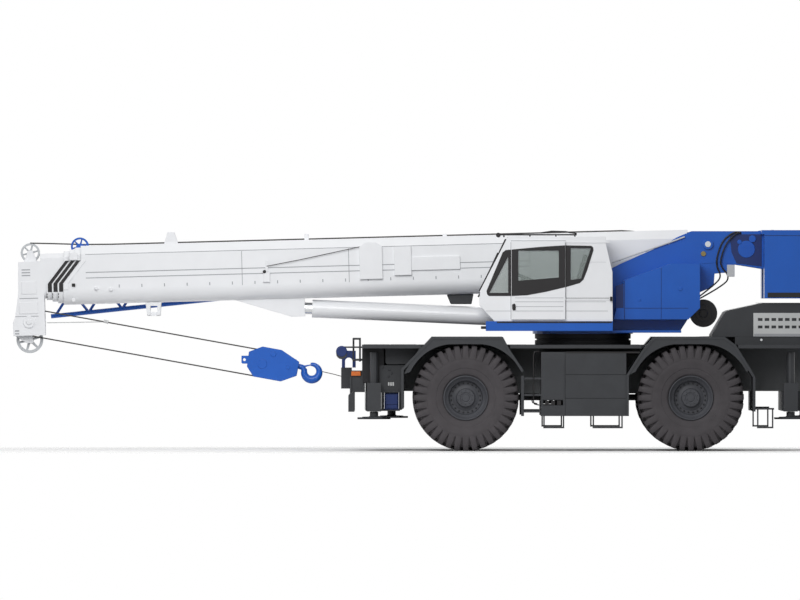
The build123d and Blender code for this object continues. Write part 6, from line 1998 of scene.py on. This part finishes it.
    def _counterweight(self) -> tuple[Piece, ...]:
        """Edge line, dark strip and lifting loops of the counterweight.

        Returns:
            The pieces.
        """
        low, high = cad_box("counterweight")
        lines: list[Shape] = []
        for side, edge in ((LEFT, low[1]), (RIGHT, high[1])):
            lines += blocks((edge, edge + side * self.weight_depth), *self.weight_rows)
        loops = []
        for spot in self.loop_spots:
            bend = arc((spot, self.loop_level), self.loop_bend, 2 * QUARTER, 4 * QUARTER, self.loop_steps)
            loops.append(Bar(at_width(self.loop_width, *bend), self.loop_radius, self.loop_sides))
        return (
            Piece("look_weight_lines", Finish.IRON, "superstructure", tuple(lines)),
            Piece(
                "look_weight_loops", Finish.PANEL, "superstructure", mirrored(*loops), sharp=self.loop_sharp
            ),
        )


@dataclass(frozen=True)
class Lamp:
    """One round soft lamp, with its place and size in metres and its power in watts."""

    name: str
    spot: Triple
    size: float
    power: float


@dataclass(frozen=True)
class Studio:
    """Floor, world light, lamps and camera, in metres."""

    floor_half: float = 26.0
    floor_colour: Triple = (0.93, 0.93, 0.93)
    floor_rough: float = 0.9
    floor_squeeze: Triple = (0.42, 1.0, 0.0)
    floor_fade: Pair = (2.2, 6.2)
    sky: tuple[tuple[float, Triple], ...] = ((0.32, (0.2, 0.21, 0.23)), (0.8, (1.0, 1.0, 1.0)))
    sky_half: float = 0.5
    sky_strength: float = 0.55
    white: tuple[float, ...] = (1.0, 1.0, 1.0, 1.0)
    lamps: tuple[Lamp, ...] = (
        Lamp("key", (-3.0, -16.0, 11.0), 12.0, 2000.0),
        Lamp("front", (-17.0, -4.0, 6.0), 8.0, 260.0),
        Lamp("back", (6.0, 14.0, 12.0), 10.0, 700.0),
    )
    lamp_aim: Triple = (0.0, 0.0, 2.0)
    camera_aim: Triple = (-0.357, 0.0, 2.6425)
    camera_face: float = 1.5
    view_width: float = 14.0
    lens: float = 600.0
    sensor: float = 36.0
    clip_end: float = 500.0

    def build(self) -> None:
        """Build the whole studio."""
        self._floor()
        self._world()
        for lamp in self.lamps:
            self._lamp(lamp)
        self._camera()

    def _floor(self) -> None:
        """Pale floor below the wheels, which fades away from them."""
        mesh = bpy.data.meshes.new("floor")
        bm = bmesh.new()
        bmesh.ops.create_grid(bm, x_segments=1, y_segments=1, size=self.floor_half)
        bm.to_mesh(mesh)
        bm.free()
        floor = bpy.data.objects.new("floor", mesh)
        bpy.context.scene.collection.objects.link(floor)
        material = bpy.data.materials.new("floor")
        material.use_nodes = True
        tool = NodeTool(material.node_tree)
        spot = tool.add("TexCoord").outputs["Object"]
        squeeze = tool.add("VectorMath", {0: spot, 1: self.floor_squeeze}, operation="MULTIPLY")
        reach = tool.add("VectorMath", {0: squeeze.outputs[0]}, operation="LENGTH")
        near, far = self.floor_fade
        fade = tool.add(
            "MapRange",
            {0: reach.outputs["Value"], 1: near, 2: far, 3: 1.0, 4: 0.0},
            interpolation_type="SMOOTHSTEP",
        )
        colour = (*self.floor_colour, 1.0)
        tool.feed(
            tool.tree.nodes["Principled BSDF"],
            {"Base Color": colour, "Roughness": self.floor_rough, "Alpha": fade.outputs[0]},
        )
        mesh.materials.append(material)

    def _world(self) -> None:
        """White where it is seen, and for the light a sky that is brighter above than below."""
        world = bpy.data.worlds.new("studio")
        bpy.context.scene.world = world
        world.use_nodes = True
        tool = NodeTool(world.node_tree)
        tool.tree.nodes.clear()
        rays = tool.add("LightPath").outputs
        shiny = tool.add("Math", {0: rays["Is Camera Ray"], 1: rays["Is Glossy Ray"]}, operation="MAXIMUM")
        direct = tool.add(
            "Math", {0: shiny.outputs[0], 1: rays["Is Transmission Ray"]}, operation="MAXIMUM"
        )
        parts = tool.add("SeparateXYZ", {0: tool.add("TexCoord").outputs["Generated"]})
        height = {0: parts.outputs["Z"], 1: self.sky_half, 2: self.sky_half}
        lift = tool.add("Math", height, operation="MULTIPLY_ADD")
        ramp = tool.add("ValToRGB", {0: lift.outputs[0]})
        for stop, (position, colour) in zip(ramp.color_ramp.elements, self.sky):
            stop.position = position
            stop.color = (*colour, 1.0)
        light = tool.add("Background", {0: ramp.outputs[0], 1: self.sky_strength})
        seen = tool.add("Background", {0: self.white})
        mix = tool.add("MixShader", {0: direct.outputs[0], 1: light.outputs[0], 2: seen.outputs[0]})
        tool.add("OutputWorld", {0: mix.outputs[0]})

    def _lamp(self, lamp: Lamp) -> None:
        """Hang one lamp and turn it towards the crane.

        Args:
            lamp: The lamp.
        """
        light = bpy.data.lights.new(lamp.name, "AREA")
        light.shape = "DISK"
        light.size = lamp.size
        light.energy = lamp.power
        holder = bpy.data.objects.new(lamp.name, light)
        holder.location = lamp.spot
        aim = Vector(self.lamp_aim) - Vector(lamp.spot)
        holder.rotation_euler = aim.to_track_quat("-Z", "Y").to_euler()
        bpy.context.scene.collection.objects.link(holder)

    def _camera(self) -> None:
        """Long lens square to the left side, as in the photo."""
        lens = bpy.data.cameras.new("camera")
        lens.lens = self.lens
        lens.sensor_width = self.sensor
        lens.clip_end = self.clip_end
        camera = bpy.data.objects.new("camera", lens)
        distance = self.camera_face + self.view_width * self.lens / self.sensor
        camera.location = Vector(self.camera_aim) - ACROSS * distance
        camera.rotation_euler = (math.pi / 2, 0.0, 0.0)
        bpy.context.scene.collection.objects.link(camera)
        bpy.context.scene.camera = camera


def main() -> None:
    """Build the whole scene."""
    logging.basicConfig(level=logging.INFO, format="%(name)s: %(message)s")
    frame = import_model()
    shop = MaterialShop()
    paint_cad(frame, shop)
    for corner in CORNERS:
        TyreLook(Wheel(corner), shop).build()
    for look in (BoomLook(shop), CabLook(shop), UpperLook(shop), CarrierLook(shop)):
        look.build()
    Studio().build()
    bpy.context.scene.view_settings.view_transform = "Standard"


if __name__ == "__main__":
    main()
